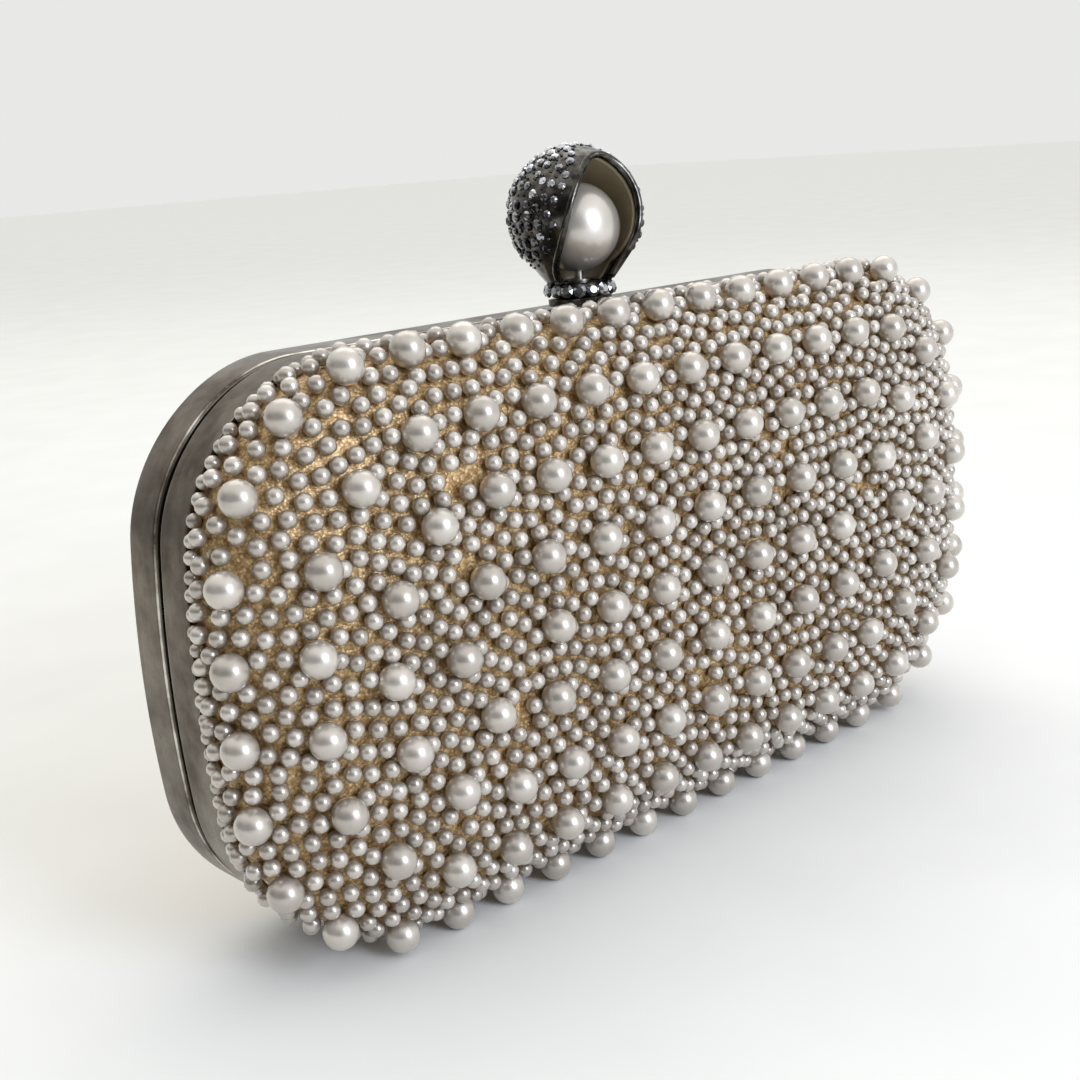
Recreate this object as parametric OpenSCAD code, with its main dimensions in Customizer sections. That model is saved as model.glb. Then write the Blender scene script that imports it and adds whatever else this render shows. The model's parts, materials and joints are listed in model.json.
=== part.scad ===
// Beaded box clutch: a deep beaded front and a shallow plain back in flat metal frames,
// hinged along the bottom, held shut by a rocking catch that carries a hollow clasp with
// a pearl in it. Millimetres. X runs along the bag, the front faces -Y, Z is up.
// The origin is on the floor, under the middle of the bag; the modules are drawn with
// the seam between the frames at y = 0, and in_place() moves them back by seam_y.

/* [Case] */
// Length of the frame, end to end
case_w = 192; // [150:1:230]
// Height of the frame, without beads or clasp
case_h = 96; // [90:1:110]
// Radius of the frame's corners
corner_r = 26.4; // [18:0.1:34]
// How far the middle of each end stands out past its corners
end_bow = 5.4; // [0:0.1:8]
// Depth from the seam to the middle of the front's face
crown_depth = 27.3; // [24:0.1:34]
// Depth at which the front's side wall starts to roll over into the face
roll_depth = 13.8; // [12:0.1:16]
// Depth from the seam to the middle of the back's face
back_depth = 15; // [13:0.1:20]

/* [Frame] */
// Width of one frame band, seam included
band_w = 8.5; // [8:0.1:10]
// Thickness of the frame band
band_t = 1.6; // [1.6:0.1:2]
// Half of the gap between the two bands
seam_half = 0.6; // [0.3:0.05:0.7]
// How far the front frame's tongue reaches into the back frame
tongue_reach = 2.6; // [1:0.1:3]

/* [Layers] */
// Thickness of the glitter fabric
fabric_t = 0.5; // [0.3:0.1:0.8]
// Thickness of the moulded shell
shell_t = 1.6; // [1.2:0.1:2]
// Thickness of the satin covered lining board
lining_t = 0.7; // [0.5:0.1:1]

/* [Beads] */
// Diameter of the large pearls
pearl_d = 6; // [5:0.1:6.5]
// Large pearls in the four rings, from the frame inwards
ring_counts = [42, 34, 28, 20]; // [8:2:44]
// Place of each ring on the dome, from 0 at the wall to 90 at the crown
ring_angles = [19, 50, 70, 84]; // [15:1:85]
// Large pearls in the middle row
row_count = 7; // [3:2:7]
// Distance between the large pearls of the middle row
row_pitch = 13.2; // [10:0.1:14]

/* [Clasp] */
// Outer radius of the hollow clasp
cage_r = 12.55; // [12:0.05:13]
// Height of the clasp's centre above the frame
cage_rise = 17.1; // [16.5:0.1:18]
// Thickness of the clasp's wall
cage_t = 1.3; // [1:0.1:1.5]
// Radius of the pearl in the clasp
clasp_pearl_r = 8.3; // [7:0.1:8.3]
// How far the clasp turns backwards when it is pressed, in degrees
press_angle = 6; // [4:0.5:6]

/* [Hinges] */
// Distance of each hinge from the middle of the bag
hinge_x = 44; // [30:1:55]
// Length of a hinge
hinge_len = 20; // [16:1:24]
// Radius of a hinge pin
hinge_pin_r = 0.6; // [0.5:0.05:0.6]

/* [Hidden] */
$fn = 48;

nickel = "#8f8d86";
gunmetal = "#34332f";
steel = "#b9b9b4";
pearl_colour = "#d9d2c4";
fabric_colour = "#c7ab7c";
crystal = "#e6edf2";

// Rounding of the dome: the inset follows a power of the cosine of the ring's angle
dome_power = 0.6;
// Each dome, as [inset of its wall, depth where the wall rolls over, depth of its crown]
front_dome = [0.3, roll_depth, crown_depth];
back_dome = [1.9, band_w + 0.7, back_depth];
// The cloth is tucked in where it meets the frame
rim_inset = 1.7;
corner_share = 0.85;
glue_gap = 0.1;
bead_gap = 0.05;
pearl_r = pearl_d / 2;
half_w = case_w / 2;
half_h = case_h / 2;

// Depths inside the frame bands
shell_rim_depth = 5.6;
fabric_rim_depth = band_w + glue_gap;
shell_rim_in = band_t + glue_gap + shell_t + 0.4;
tongue_root_depth = 3.8;
tongue_clear = 0.3;
tongue_t = 0.9;
leaf_t = 0.7;
leaf_gap = 0.05;

// Running clearance of every pin in its bore
pin_gap = 0.05;
screw_r = 0.7;
screw_head_r = 1.4;
screw_head_t = 0.6;
screw_bite = 1.15;

// Latch, measured from the top of the frame
pivot_y = 4.2;
pivot_z = -5.8;
pivot_r = 0.6;
hub_r = 1.7;
hub_half = 5.9;
wall_half = 6.2;
housing_t = 0.8;
housing_y = [2.4, 7.8];
housing_z = [-10.3, -1.65];
housing_screw = [9.2, 5.1];
latch_room_half = 12.8;
arm_half = 3;
arm_z = [-6.4, -5.2];
tooth_y = [-1.4, -0.4];
tooth_z = -7;
stem_half_y = 0.9;
rear_arm_y = 7.6;
spring_y = 6.7;
spring_r = 0.65;
spring_wire_r = 0.2;
spring_turns = 4;
keeper_gap = 0.2;
keeper_t = 0.7;
keeper_y = [-5.4, -2];
keeper_lip_y = [0.2, 1.2];
keeper_screw = [6, -3.9];
foot_z = [0.55, 1.75];
foot_r = 7;
foot_half_y = 4;
collar_z = [1.8, 4.6];
collar_r = 6;
collar_stone_r = 0.85;
tenon_r = 0.9;
tenon_top = 4.2;
neck_r = 6.2;
cage_steps = 22;
enamel_t = 0.45;
pearl_drop = 2.4;
peg_r = 0.8;
opening_wide = 8.6;
opening_up = 10.7;
opening_down = 14.8;
opening_turn = -10;
stone_r = 0.8;
stone_t = 0.5;
stone_rows = 10;
stone_low = -25;
stone_lift = 11;

// ---- Outlines ----------------------------------------------------------------------

// One point of the rounded outline at a given inset and corner radius.
// p runs from 0 to 12, clockwise from the middle of the top edge: in each quarter the
// first unit is the straight top, the second the corner and the third the end.
function quarter_point(a, b, r, u) =
    u < 1 ? [u * (a - r), b]
    : u < 2 ? [a - r + r * sin(90 * (u - 1)), b - r + r * cos(90 * (u - 1))]
    : [a, (b - r) * (3 - u)];

function square_point(a, b, r, p) =
    let(q = floor(p / 3), u = p - 3 * q)
    q == 0 ? quarter_point(a, b, r, u)
    : q == 1 ? let(v = quarter_point(a, b, r, 3 - u)) [v.x, -v.y]
    : q == 2 ? let(v = quarter_point(a, b, r, u)) [-v.x, -v.y]
    : let(v = quarter_point(a, b, r, 3 - u)) [-v.x, v.y];

// The ends bow outwards, so the corners are drawn in by end_bow
function bowed(v) = [v.x * (1 - end_bow / half_w * pow(v.y / half_h, 2)), v.y];

function outline_point(inset, r, p) =
    bowed(square_point(half_w - inset, half_h - inset, r, (p + 12) % 12));

// Steps of p along a quarter, from 0 to 3: straight, corner and end
function quarter_steps(n_top, n_corner, n_end) = concat(
    [for (i = [0 : n_top - 1]) i / n_top],
    [for (i = [0 : n_corner - 1]) 1 + i / n_corner],
    [for (i = [0 : n_end]) 2 + i / n_end]
);
// Four quarters in turn, every other one walked backwards
function loop_steps(quarter) =
    let(n = len(quarter) - 1)
    concat(
        [for (i = [0 : n - 1]) quarter[i]],
        [for (i = [n : -1 : 1]) 6 - quarter[i]],
        [for (i = [0 : n - 1]) 6 + quarter[i]],
        [for (i = [n : -1 : 1]) 12 - quarter[i]]
    );

fine_loop = loop_steps(quarter_steps(1, 12, 4));
dome_loop = loop_steps(quarter_steps(3, 6, 2));

function true_outline(inset) = [for (p = fine_loop) outline_point(inset, corner_r - inset, p)];

// ---- Domes -------------------------------------------------------------------------

function dome_inset(dome, a) = dome[0] + (half_h - dome[0]) * (1 - pow(cos(a), dome_power));
function dome_depth(dome, a) = dome[1] + (dome[2] - dome[1]) * sin(a);
function dome_corner(dome, a) = min(corner_r, corner_share * (half_h - dome_inset(dome, a)));

// Unit normal of a dome's profile, as [outwards, forwards]
function profile_slope(dome, a) = [
    (dome[2] - dome[1]) * cos(a),
    (half_h - dome[0]) * dome_power * pow(cos(a), dome_power - 1) * sin(a)
];
function profile_normal(dome, a) = profile_slope(dome, a) / norm(profile_slope(dome, a));

// Height of the bag's middle, so that the lowest pearls touch the floor
base_normal = profile_normal(front_dome, ring_angles[0]);
base_outset = base_normal[0] * (pearl_r + bead_gap) - dome_inset(front_dome, ring_angles[0]);
mid_z = half_h + base_outset + pearl_r;
top_z = mid_z + half_h;
bottom_z = mid_z - half_h;
// Half of how much further the front reaches than the back
seam_y = (crown_depth + bead_gap + pearl_d - back_depth) / 2;

function placed(v, depth) = [v.x, -depth, mid_z + v.y];

// A ring of a dome, t below its outer face
function dome_ring(dome, a, t) =
    let(n = profile_normal(dome, a), shift = t * n[0])
    [for (p = dome_loop)
        placed(
            outline_point(dome_inset(dome, a) + shift, dome_corner(dome, a) - shift, p),
            dome_depth(dome, a) - t * n[1]
        )];
function rim_ring(inset, depth) =
    [for (p = dome_loop) placed(outline_point(inset, corner_r - inset, p), depth)];

outer_steps = [0, 18, 36, 54, 70, 84];
inner_steps = [18, 36, 54, 70, 84];

function middle(ring) = [for (v = ring) 1] * ring / len(ring);

// Closed solid through a list of rings with the same number of points; each end is a
// fan of triangles about the middle of its ring
module loft(rings) {
    n = len(rings[0]);
    m = len(rings);
    sides = [for (i = [0 : m - 2], j = [0 : n - 1])
        let(k = (j + 1) % n)
        each [[i * n + j, (i + 1) * n + j, (i + 1) * n + k], [i * n + j, (i + 1) * n + k, i * n + k]]];
    start = [for (j = [0 : n - 1]) [m * n, j, (j + 1) % n]];
    end = [for (j = [0 : n - 1]) [m * n + 1, (m - 1) * n + (j + 1) % n, (m - 1) * n + j]];
    polyhedron(
        concat([for (ring = rings) each ring], [middle(rings[0]), middle(rings[m - 1])]),
        concat(sides, start, end),
        convexity = 6
    );
}

// A domed skin between two depths below the outer face, with its own rim rings
module dome_skin(dome, t_out, t_in, steps_out, steps_in, rim_out, rim_in) {
    loft(concat(
        [for (i = [len(steps_in) - 1 : -1 : 0]) dome_ring(dome, steps_in[i], t_in)],
        rim_in,
        rim_out,
        [for (a = steps_out) dome_ring(dome, a, t_out)]
    ));
}

module to_back() {
    mirror([0, 1, 0]) children();
}

module cover(dome) {
    color(fabric_colour) dome_skin(
        dome, 0, fabric_t, outer_steps, outer_steps,
        [rim_ring(rim_inset, fabric_rim_depth)],
        [rim_ring(rim_inset + fabric_t, fabric_rim_depth)]
    );
}

module shell(dome) {
    t_out = fabric_t + glue_gap;
    rim_out = band_t + glue_gap;
    color("#3b3733") dome_skin(
        dome, t_out, t_out + shell_t, outer_steps, inner_steps,
        [
            rim_ring(rim_out, shell_rim_depth),
            rim_ring(rim_out, band_w - 0.6),
            rim_ring(rim_inset + t_out, band_w)
        ],
        [rim_ring(shell_rim_in, shell_rim_depth)]
    );
}

module lining(dome) {
    t_out = fabric_t + shell_t + 2 * glue_gap;
    rim_out = shell_rim_in + glue_gap;
    color("#b59a72") dome_skin(
        dome, t_out, t_out + lining_t, inner_steps, inner_steps,
        [rim_ring(rim_out, shell_rim_depth)],
        [rim_ring(rim_out + lining_t, shell_rim_depth)]
    );
}

// Room for the latch housing in the back half's rims
module latch_room() {
    box_between([-latch_room_half, 0, top_z - 12], [latch_room_half, housing_y[1] + 0.3, top_z - 1]);
}

module front_fabric() { cover(front_dome); }
module front_shell() { shell(front_dome); }
module front_lining() { lining(front_dome); }
module back_fabric() { to_back() cover(back_dome); }
module back_shell() {
    difference() {
        to_back() shell(back_dome);
        latch_room();
    }
}
module back_lining() {
    difference() {
        to_back() lining(back_dome);
        latch_room();
    }
}

// ---- Frames ------------------------------------------------------------------------

// A flat loop between two insets, from one depth to another
module loop_band(inset_out, inset_in, depth_from, depth_to) {
    translate([0, -depth_from, mid_z])
        rotate([90, 0, 0])
            linear_extrude(depth_to - depth_from)
                difference() {
                    polygon(true_outline(inset_out));
                    polygon(true_outline(inset_in));
                }
}

module box_between(low, high) {
    translate(low) cube(high - low);
}

module hinge_notches() {
    for (side = [-1, 1])
        box_between(
            [side * hinge_x - hinge_len / 2 - 0.3, -1.7, bottom_z - 1],
            [side * hinge_x + hinge_len / 2 + 0.3, 1.7, bottom_z + band_t + 0.2]
        );
}

// Blind screw hole from the inner face of the band; up is 1 in the top band
module band_hole(x, y, up) {
    face = up > 0 ? top_z - band_t : bottom_z + band_t;
    translate([x, y, up > 0 ? face - 0.5 : face - screw_bite])
        cylinder(r = screw_r + pin_gap, h = screw_bite + 0.5, $fn = 24);
}

module hinge_holes(front) {
    for (side = [-1, 1], end = [-1, 1])
        band_hole(side * hinge_x + end * 7, front * 3.6, -1);
}

module stem_notch() {
    box_between([-arm_half - 0.3, -1.2, top_z - band_t - 2], [arm_half + 0.3, 2, top_z + 1]);
}

module back_frame() {
    color(nickel) difference() {
        loop_band(0, band_t, -band_w, -seam_half);
        hinge_notches();
        hinge_holes(1);
        stem_notch();
        for (side = [-1, 1]) band_hole(side * housing_screw[0], housing_screw[1], 1);
    }
}

module front_frame() {
    tongue_in = band_t + tongue_clear + tongue_t;
    color(nickel) difference() {
        union() {
            loop_band(0, band_t, seam_half, band_w);
            difference() {
                union() {
                    loop_band(band_t - 0.2, tongue_in, seam_half + 0.1, tongue_root_depth);
                    loop_band(band_t + tongue_clear, tongue_in, -tongue_reach, seam_half + 0.2);
                }
                for (side = [-1, 1])
                    box_between(
                        [side * hinge_x - hinge_len / 2 - 0.6, -6, bottom_z + band_t],
                        [side * hinge_x + hinge_len / 2 + 0.6, 4, bottom_z + 6]
                    );
                box_between([-latch_room_half, -6, top_z - 6], [latch_room_half, 4, top_z - band_t]);
            }
        }
        hinge_notches();
        hinge_holes(-1);
        stem_notch();
        for (side = [-1, 1]) band_hole(side * keeper_screw[0], keeper_screw[1], 1);
    }
}

// ---- Hinges ------------------------------------------------------------------------

knuckle_r = 1.2;
knuckle_gap = 0.2;
knuckle_mid = hinge_len * 0.15;

module knuckle(x_from, x_to, front) {
    translate([x_from, 0, 0]) rotate([0, 90, 0]) cylinder(r = knuckle_r, h = x_to - x_from);
    box_between(
        [x_from, min(front * 0.25, front * 1.3), 0],
        [x_to, max(front * 0.25, front * 1.3), band_t + 0.4]
    );
}

// One leaf: front is -1 for the front half's leaf, which has the two outer knuckles
module hinge_leaf(side, front) {
    half = hinge_len / 2;
    color(steel) translate([side * hinge_x, 0, bottom_z]) difference() {
        union() {
            box_between(
                [-half, min(front * 0.9, front * 5.3), band_t + leaf_gap],
                [half, max(front * 0.9, front * 5.3), band_t + leaf_gap + leaf_t]
            );
            if (front > 0) {
                knuckle(-knuckle_mid, knuckle_mid, front);
            } else {
                knuckle(-half, -knuckle_mid - knuckle_gap, front);
                knuckle(knuckle_mid + knuckle_gap, half, front);
            }
        }
        translate([-half - 1, 0, 0]) rotate([0, 90, 0])
            cylinder(r = hinge_pin_r + pin_gap, h = hinge_len + 2);
        for (end = [-1, 1])
            translate([end * 7, front * 3.6, band_t - 1]) cylinder(r = screw_r + pin_gap, h = 3, $fn = 24);
    }
}

module hinge_pin(side) {
    half = hinge_len / 2;
    color(steel) translate([side * hinge_x - half - 0.25, 0, bottom_z])
        rotate([0, 90, 0]) cylinder(r = hinge_pin_r, h = hinge_len + 0.5);
}

// A slotted screw, head down, that goes up into the band above it
module slotted_screw() {
    difference() {
        union() {
            cylinder(r = screw_r, h = leaf_t + screw_bite - 0.1, $fn = 24);
            translate([0, 0, -screw_head_t]) cylinder(r = screw_head_r, h = screw_head_t);
        }
        box_between([-screw_head_r, -0.2, -screw_head_t - 1], [screw_head_r, 0.2, -screw_head_t + 0.25]);
    }
}

module hinge_screws(front) {
    color(steel) for (side = [-1, 1], end = [-1, 1])
        translate([side * hinge_x + end * 7, front * 3.6, bottom_z + band_t + leaf_gap + leaf_t])
            mirror([0, 0, 1]) slotted_screw();
}

module left_hinge_back_leaf() { hinge_leaf(-1, 1); }
module left_hinge_front_leaf() { hinge_leaf(-1, -1); }
module left_hinge_pin() { hinge_pin(-1); }
module right_hinge_back_leaf() { hinge_leaf(1, 1); }
module right_hinge_front_leaf() { hinge_leaf(1, -1); }
module right_hinge_pin() { hinge_pin(1); }
module back_hinge_screws() { hinge_screws(1); }
module front_hinge_screws() { hinge_screws(-1); }

// ---- Latch -------------------------------------------------------------------------

module at_top() {
    translate([0, 0, top_z]) children();
}

module latch_housing() {
    half = wall_half + housing_t;
    color(steel) at_top() difference() {
        union() {
            box_between(
                [-11.5, housing_y[0], housing_z[1] - housing_t + 0.05],
                [11.5, housing_y[1], housing_z[1]]
            );
            for (side = [-1, 1])
                box_between(
                    [min(side * wall_half, side * half), housing_y[0], housing_z[0]],
                    [max(side * wall_half, side * half), housing_y[1], housing_z[1]]
                );
            box_between([-half, 4.9, housing_z[0]], [half, housing_y[1], housing_z[0] + housing_t]);
        }
        translate([-half - 1, pivot_y, pivot_z]) rotate([0, 90, 0])
            cylinder(r = pivot_r + pin_gap, h = 2 * half + 2);
        for (side = [-1, 1])
            translate([side * housing_screw[0], housing_screw[1], housing_z[1] - 2])
                cylinder(r = screw_r + pin_gap, h = 3, $fn = 24);
    }
}

module latch_housing_screws() {
    color(steel) at_top() for (side = [-1, 1])
        translate([side * housing_screw[0], housing_screw[1], housing_z[1] - housing_t + 0.05])
            slotted_screw();
}

module latch_pivot_pin() {
    half = wall_half + housing_t;
    color(steel) at_top() translate([0, pivot_y, pivot_z]) rotate([0, 90, 0]) {
        cylinder(r = pivot_r, h = 2 * half + 0.4, center = true);
        for (side = [-1, 1])
            translate([0, 0, side * (half + 0.25)]) cylinder(r = 1, h = 0.4, center = true);
    }
}

// Compression spring: a round wire swept along a helix between the floor and the arm
module latch_spring() {
    low = housing_z[0] + housing_t + 0.05 + spring_wire_r;
    high = arm_z[0] - 0.05 - spring_wire_r;
    sides = 6;
    rings = spring_turns * 12;
    color(steel) at_top() translate([0, spring_y, low]) loft([for (i = [0 : rings])
        let(
            turn = 360 * spring_turns * i / rings,
            rise = (high - low) * i / rings,
            out = [cos(turn), sin(turn), 0]
        )
        [for (k = [0 : sides - 1])
            let(b = 360 * k / sides)
            out * (spring_r + spring_wire_r * cos(b)) + [0, 0, rise - spring_wire_r * sin(b)]]]);
}

module latch_rocker() {
    color(steel) at_top() difference() {
        union() {
            translate([0, pivot_y, pivot_z]) rotate([0, 90, 0])
                cylinder(r = hub_r, h = 2 * hub_half, center = true);
            box_between([-arm_half, tooth_y[0], arm_z[0]], [arm_half, rear_arm_y, arm_z[1]]);
            box_between([-arm_half, tooth_y[0], tooth_z], [arm_half, tooth_y[1], arm_z[1]]);
            box_between([-arm_half, -stem_half_y, arm_z[0]], [arm_half, stem_half_y, foot_z[0]]);
            cylinder(r = tenon_r, h = tenon_top);
        }
        translate([0, pivot_y, pivot_z]) rotate([0, 90, 0])
            cylinder(r = pivot_r + pin_gap, h = 2 * hub_half + 2, center = true);
    }
}

// The keeper's lip stands behind the rocker's tooth, keeper_gap below its tip
module keeper_plate() {
    lip_top = tooth_z - keeper_gap;
    shelf_z = lip_top - 2 * keeper_t;
    flange_z = housing_z[1] - keeper_t;
    color(steel) at_top() difference() {
        union() {
            box_between([-8, keeper_y[0], flange_z], [8, keeper_y[1], housing_z[1]]);
            box_between([-3.5, keeper_y[1] - keeper_t, shelf_z], [3.5, keeper_y[1], housing_z[1]]);
            box_between([-3.5, keeper_y[1] - keeper_t, shelf_z], [3.5, keeper_lip_y[1], shelf_z + keeper_t]);
            box_between([-3.5, keeper_lip_y[0], shelf_z], [3.5, keeper_lip_y[1], lip_top]);
        }
        for (side = [-1, 1])
            translate([side * keeper_screw[0], keeper_screw[1], flange_z - 1])
                cylinder(r = screw_r + pin_gap, h = 3, $fn = 24);
    }
}

module keeper_screws() {
    color(steel) at_top() for (side = [-1, 1])
        translate([side * keeper_screw[0], keeper_screw[1], housing_z[1] - keeper_t])
            slotted_screw();
}

// ---- Clasp -------------------------------------------------------------------------

module clasp_foot() {
    color(gunmetal) at_top() difference() {
        intersection() {
            translate([0, 0, foot_z[0]]) cylinder(r = foot_r, h = foot_z[1] - foot_z[0]);
            box_between([-foot_r - 1, -foot_half_y, 0], [foot_r + 1, foot_half_y, 3]);
        }
        cylinder(r = tenon_r + pin_gap, h = 5);
    }
}

module clasp_collar() {
    color(gunmetal) at_top() difference() {
        rotate_extrude() polygon([
            [0, collar_z[0]], [5, collar_z[0]], [collar_r, collar_z[0] + 0.8],
            [collar_r, collar_z[1] - 0.4], [collar_r - 0.4, collar_z[1]], [0, collar_z[1]]
        ]);
        cylinder(r = tenon_r + pin_gap, h = tenon_top + 0.1);
    }
}

module collar_crystals() {
    count = 16;
    color(crystal) at_top() for (i = [0 : count - 1])
        rotate([0, 0, 360 * i / count])
            translate([collar_r + collar_stone_r + bead_gap, 0, 3.4])
                sphere(r = collar_stone_r, $fn = 24);
}

// Half profile of the clasp from its neck up to its top, t inside its outer face: a
// straight side that runs on into the circle it touches. The clasp's centre is at zero.
function cage_side(t) =
    let(
        neck = [neck_r, collar_z[1] - cage_rise],
        touch = atan2(neck.y, neck.x) + acos(cage_r / norm(neck)),
        r = cage_r - t,
        side = [cos(touch), sin(touch)],
        along = (neck - cage_r * side) / norm(neck - cage_r * side),
        foot = r * side + (neck.y - r * side.y) / along.y * along
    )
    concat([foot], [for (i = [0 : cage_steps])
        let(a = touch + (90 - touch) * i / cage_steps)
        r * [cos(a), sin(a)]]);

// The opening faces the front: an egg with its narrow end down, cut straight through
module cage_opening(grow) {
    rotate([0, 0, opening_turn]) rotate([90, 0, 0]) linear_extrude(cage_r + 5)
        polygon([for (a = [0 : 9 : 351]) [
            (opening_wide + grow) * cos(a),
            ((sin(a) > 0 ? opening_up : opening_down) + grow) * sin(a)
        ]]);
}

module cage_wall(t_out, t_in, grow) {
    at_top() translate([0, 0, cage_rise]) difference() {
        rotate_extrude($fn = 96) polygon(concat(
            cage_side(t_out),
            [for (i = [0 : cage_steps + 1]) cage_side(t_in)[cage_steps + 1 - i]]
        ));
        cage_opening(grow);
    }
}

module clasp_cage() {
    color(gunmetal) cage_wall(0, cage_t, 0);
}

module cage_enamel() {
    color("#a99a78") cage_wall(cage_t + bead_gap, cage_t + bead_gap + enamel_t, 0.3);
}

// How far out a point of the clasp lies from the opening's edge: above 1 it is clear
function egg_share(x, z, grow) =
    pow(x / (opening_wide + grow), 2) + pow(z / ((z > 0 ? opening_up : opening_down) + grow), 2);

// Flat backed stones in rows round the clasp, left out over the opening
module cage_crystals() {
    color(crystal) at_top() translate([0, 0, cage_rise])
        for (row = [0 : stone_rows - 1])
            let(
                lift = stone_low + row * stone_lift,
                count = round(360 / stone_lift * cos(lift)),
                ring = cage_r * cos(lift)
            )
                for (i = [0 : count - 1])
                    let(turn = (i + row % 2 / 2) * 360 / count)
                        if (cos(turn) < 0 || egg_share(ring * sin(turn), cage_r * sin(lift), 1.2) > 1)
                            rotate([0, 0, opening_turn + turn]) rotate([90 - lift, 0, 0])
                                translate([0, 0, cage_r + 0.03])
                                    cylinder(r = stone_r, h = stone_t, $fn = 16);
}

module clasp_pearl() {
    color(pearl_colour) at_top() translate([0, 0, cage_rise - pearl_drop]) difference() {
        sphere(r = clasp_pearl_r, $fn = 96);
        translate([0, 0, -clasp_pearl_r - 1]) cylinder(r = peg_r + pin_gap, h = 6);
    }
}

module pearl_peg() {
    seat_z = collar_z[1] + 0.02;
    color(steel) at_top() translate([0, 0, seat_z]) {
        cylinder(r = 2.2, h = 0.5);
        cylinder(r = peg_r, h = cage_rise - pearl_drop - clasp_pearl_r - seat_z + 4.5);
    }
}

// ---- Pearls ------------------------------------------------------------------------

function front_at(a, p) = placed(
    outline_point(dome_inset(front_dome, a), dome_corner(front_dome, a), p),
    dome_depth(front_dome, a)
);

// Outward unit normal of the front, from two short steps along its surface
function front_normal(a, p) =
    let(n = cross(front_at(a, p + 0.01) - front_at(a, p - 0.01), front_at(a + 0.1, p) - front_at(a - 0.1, p)))
    (n.y < 0 ? 1 : -1) * n / norm(n);

function pearl_centre(a, p) = front_at(a, p) + front_normal(a, p) * (pearl_r + bead_gap);

// The value of p at a share s of the way round a ring of the front, by length
function along_ring(a, s) =
    let(
        r = dome_corner(front_dome, a),
        inset = dome_inset(front_dome, a),
        top = half_w - inset - r,
        arc = PI / 2 * r,
        end = half_h - inset - r,
        quarter = top + arc + end,
        q = floor(4 * s),
        f = 4 * s - q,
        run = quarter * (q % 2 == 0 ? f : 1 - f),
        u = run < top ? run / top : run < top + arc ? 1 + (run - top) / arc : 2 + (run - top - arc) / end
    )
    q % 2 == 0 ? 3 * q + u : 3 * q + 3 - u;

function ring_centres(k) = [for (i = [0 : ring_counts[k] - 1])
    pearl_centre(ring_angles[k], along_ring(ring_angles[k], i / ring_counts[k]))];

// The pearls along the middle of the bottom edge carry the bag
function in_base(c) = c.z < pearl_r + 1 && abs(c.x) < 0.6 * half_w;

module pearls(centres) {
    color(pearl_colour) for (c = centres) translate(c) sphere(r = pearl_r);
}

module ring_pearls(number) {
    pearls([for (c = ring_centres(number - 1)) if (!in_base(c)) c]);
}

module base_pearls() {
    pearls([for (c = ring_centres(0)) if (in_base(c)) c]);
}

module ring_1_pearls() { ring_pearls(1); }
module ring_2_pearls() { ring_pearls(2); }
module ring_3_pearls() { ring_pearls(3); }
module ring_4_pearls() { ring_pearls(4); }

module row_pearls() {
    pearls([for (i = [0 : row_count - 1])
        [(i - (row_count - 1) / 2) * row_pitch, -crown_depth - pearl_r - bead_gap, mid_z]]);
}

// Everything is drawn about the seam and moved so that the bag's box is centred
module in_place() {
    translate([0, seam_y, 0]) children();
}

in_place() back_frame();
in_place() back_shell();
in_place() back_fabric();
in_place() back_lining();
in_place() front_frame();
in_place() front_shell();
in_place() front_fabric();
in_place() front_lining();
in_place() left_hinge_back_leaf();
in_place() left_hinge_front_leaf();
in_place() left_hinge_pin();
in_place() right_hinge_back_leaf();
in_place() right_hinge_front_leaf();
in_place() right_hinge_pin();
in_place() back_hinge_screws();
in_place() front_hinge_screws();
in_place() latch_housing();
in_place() latch_housing_screws();
in_place() latch_pivot_pin();
in_place() latch_spring();
in_place() latch_rocker();
in_place() keeper_plate();
in_place() keeper_screws();
in_place() clasp_foot();
in_place() clasp_collar();
in_place() collar_crystals();
in_place() clasp_cage();
in_place() cage_enamel();
in_place() cage_crystals();
in_place() clasp_pearl();
in_place() pearl_peg();
in_place() base_pearls();
in_place() ring_1_pearls();
in_place() ring_2_pearls();
in_place() ring_3_pearls();
in_place() ring_4_pearls();
in_place() row_pearls();
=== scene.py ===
"""Beaded evening clutch, finished around its packed frame.

Every piece is a surface worked out with numpy in the frame's own metres. The front is a deep dome in
glitter cloth, covered in imitation pearls; the back is a shallow dome in the same cloth. Both sit in
flat nickel frames, and a hollow pavé clasp with a pearl in it stands on the catch.
"""

import json
import math

import bmesh
import bpy
import numpy as np
from bpy.props import FloatProperty, FloatVectorProperty, IntProperty, IntVectorProperty
from bpy.props import PointerProperty
from mathutils import Matrix, Vector
from mathutils.kdtree import KDTree


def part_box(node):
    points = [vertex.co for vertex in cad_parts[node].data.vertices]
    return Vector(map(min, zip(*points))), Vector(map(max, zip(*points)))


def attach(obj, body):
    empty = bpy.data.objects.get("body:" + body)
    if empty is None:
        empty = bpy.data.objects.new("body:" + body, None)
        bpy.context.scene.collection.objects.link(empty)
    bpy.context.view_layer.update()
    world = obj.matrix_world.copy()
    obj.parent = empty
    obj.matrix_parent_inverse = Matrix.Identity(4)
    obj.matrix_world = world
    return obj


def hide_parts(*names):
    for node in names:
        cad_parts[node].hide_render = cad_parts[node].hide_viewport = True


bl_info = {
    "name": "Evening Bag",
    "version": (1, 0, 0),
    "blender": (4, 5, 0),
    "location": "3D View > Sidebar > Evening Bag",
    "description": "Finishes a beaded box clutch around its packed frame",
    "category": "Object",
}

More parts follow.
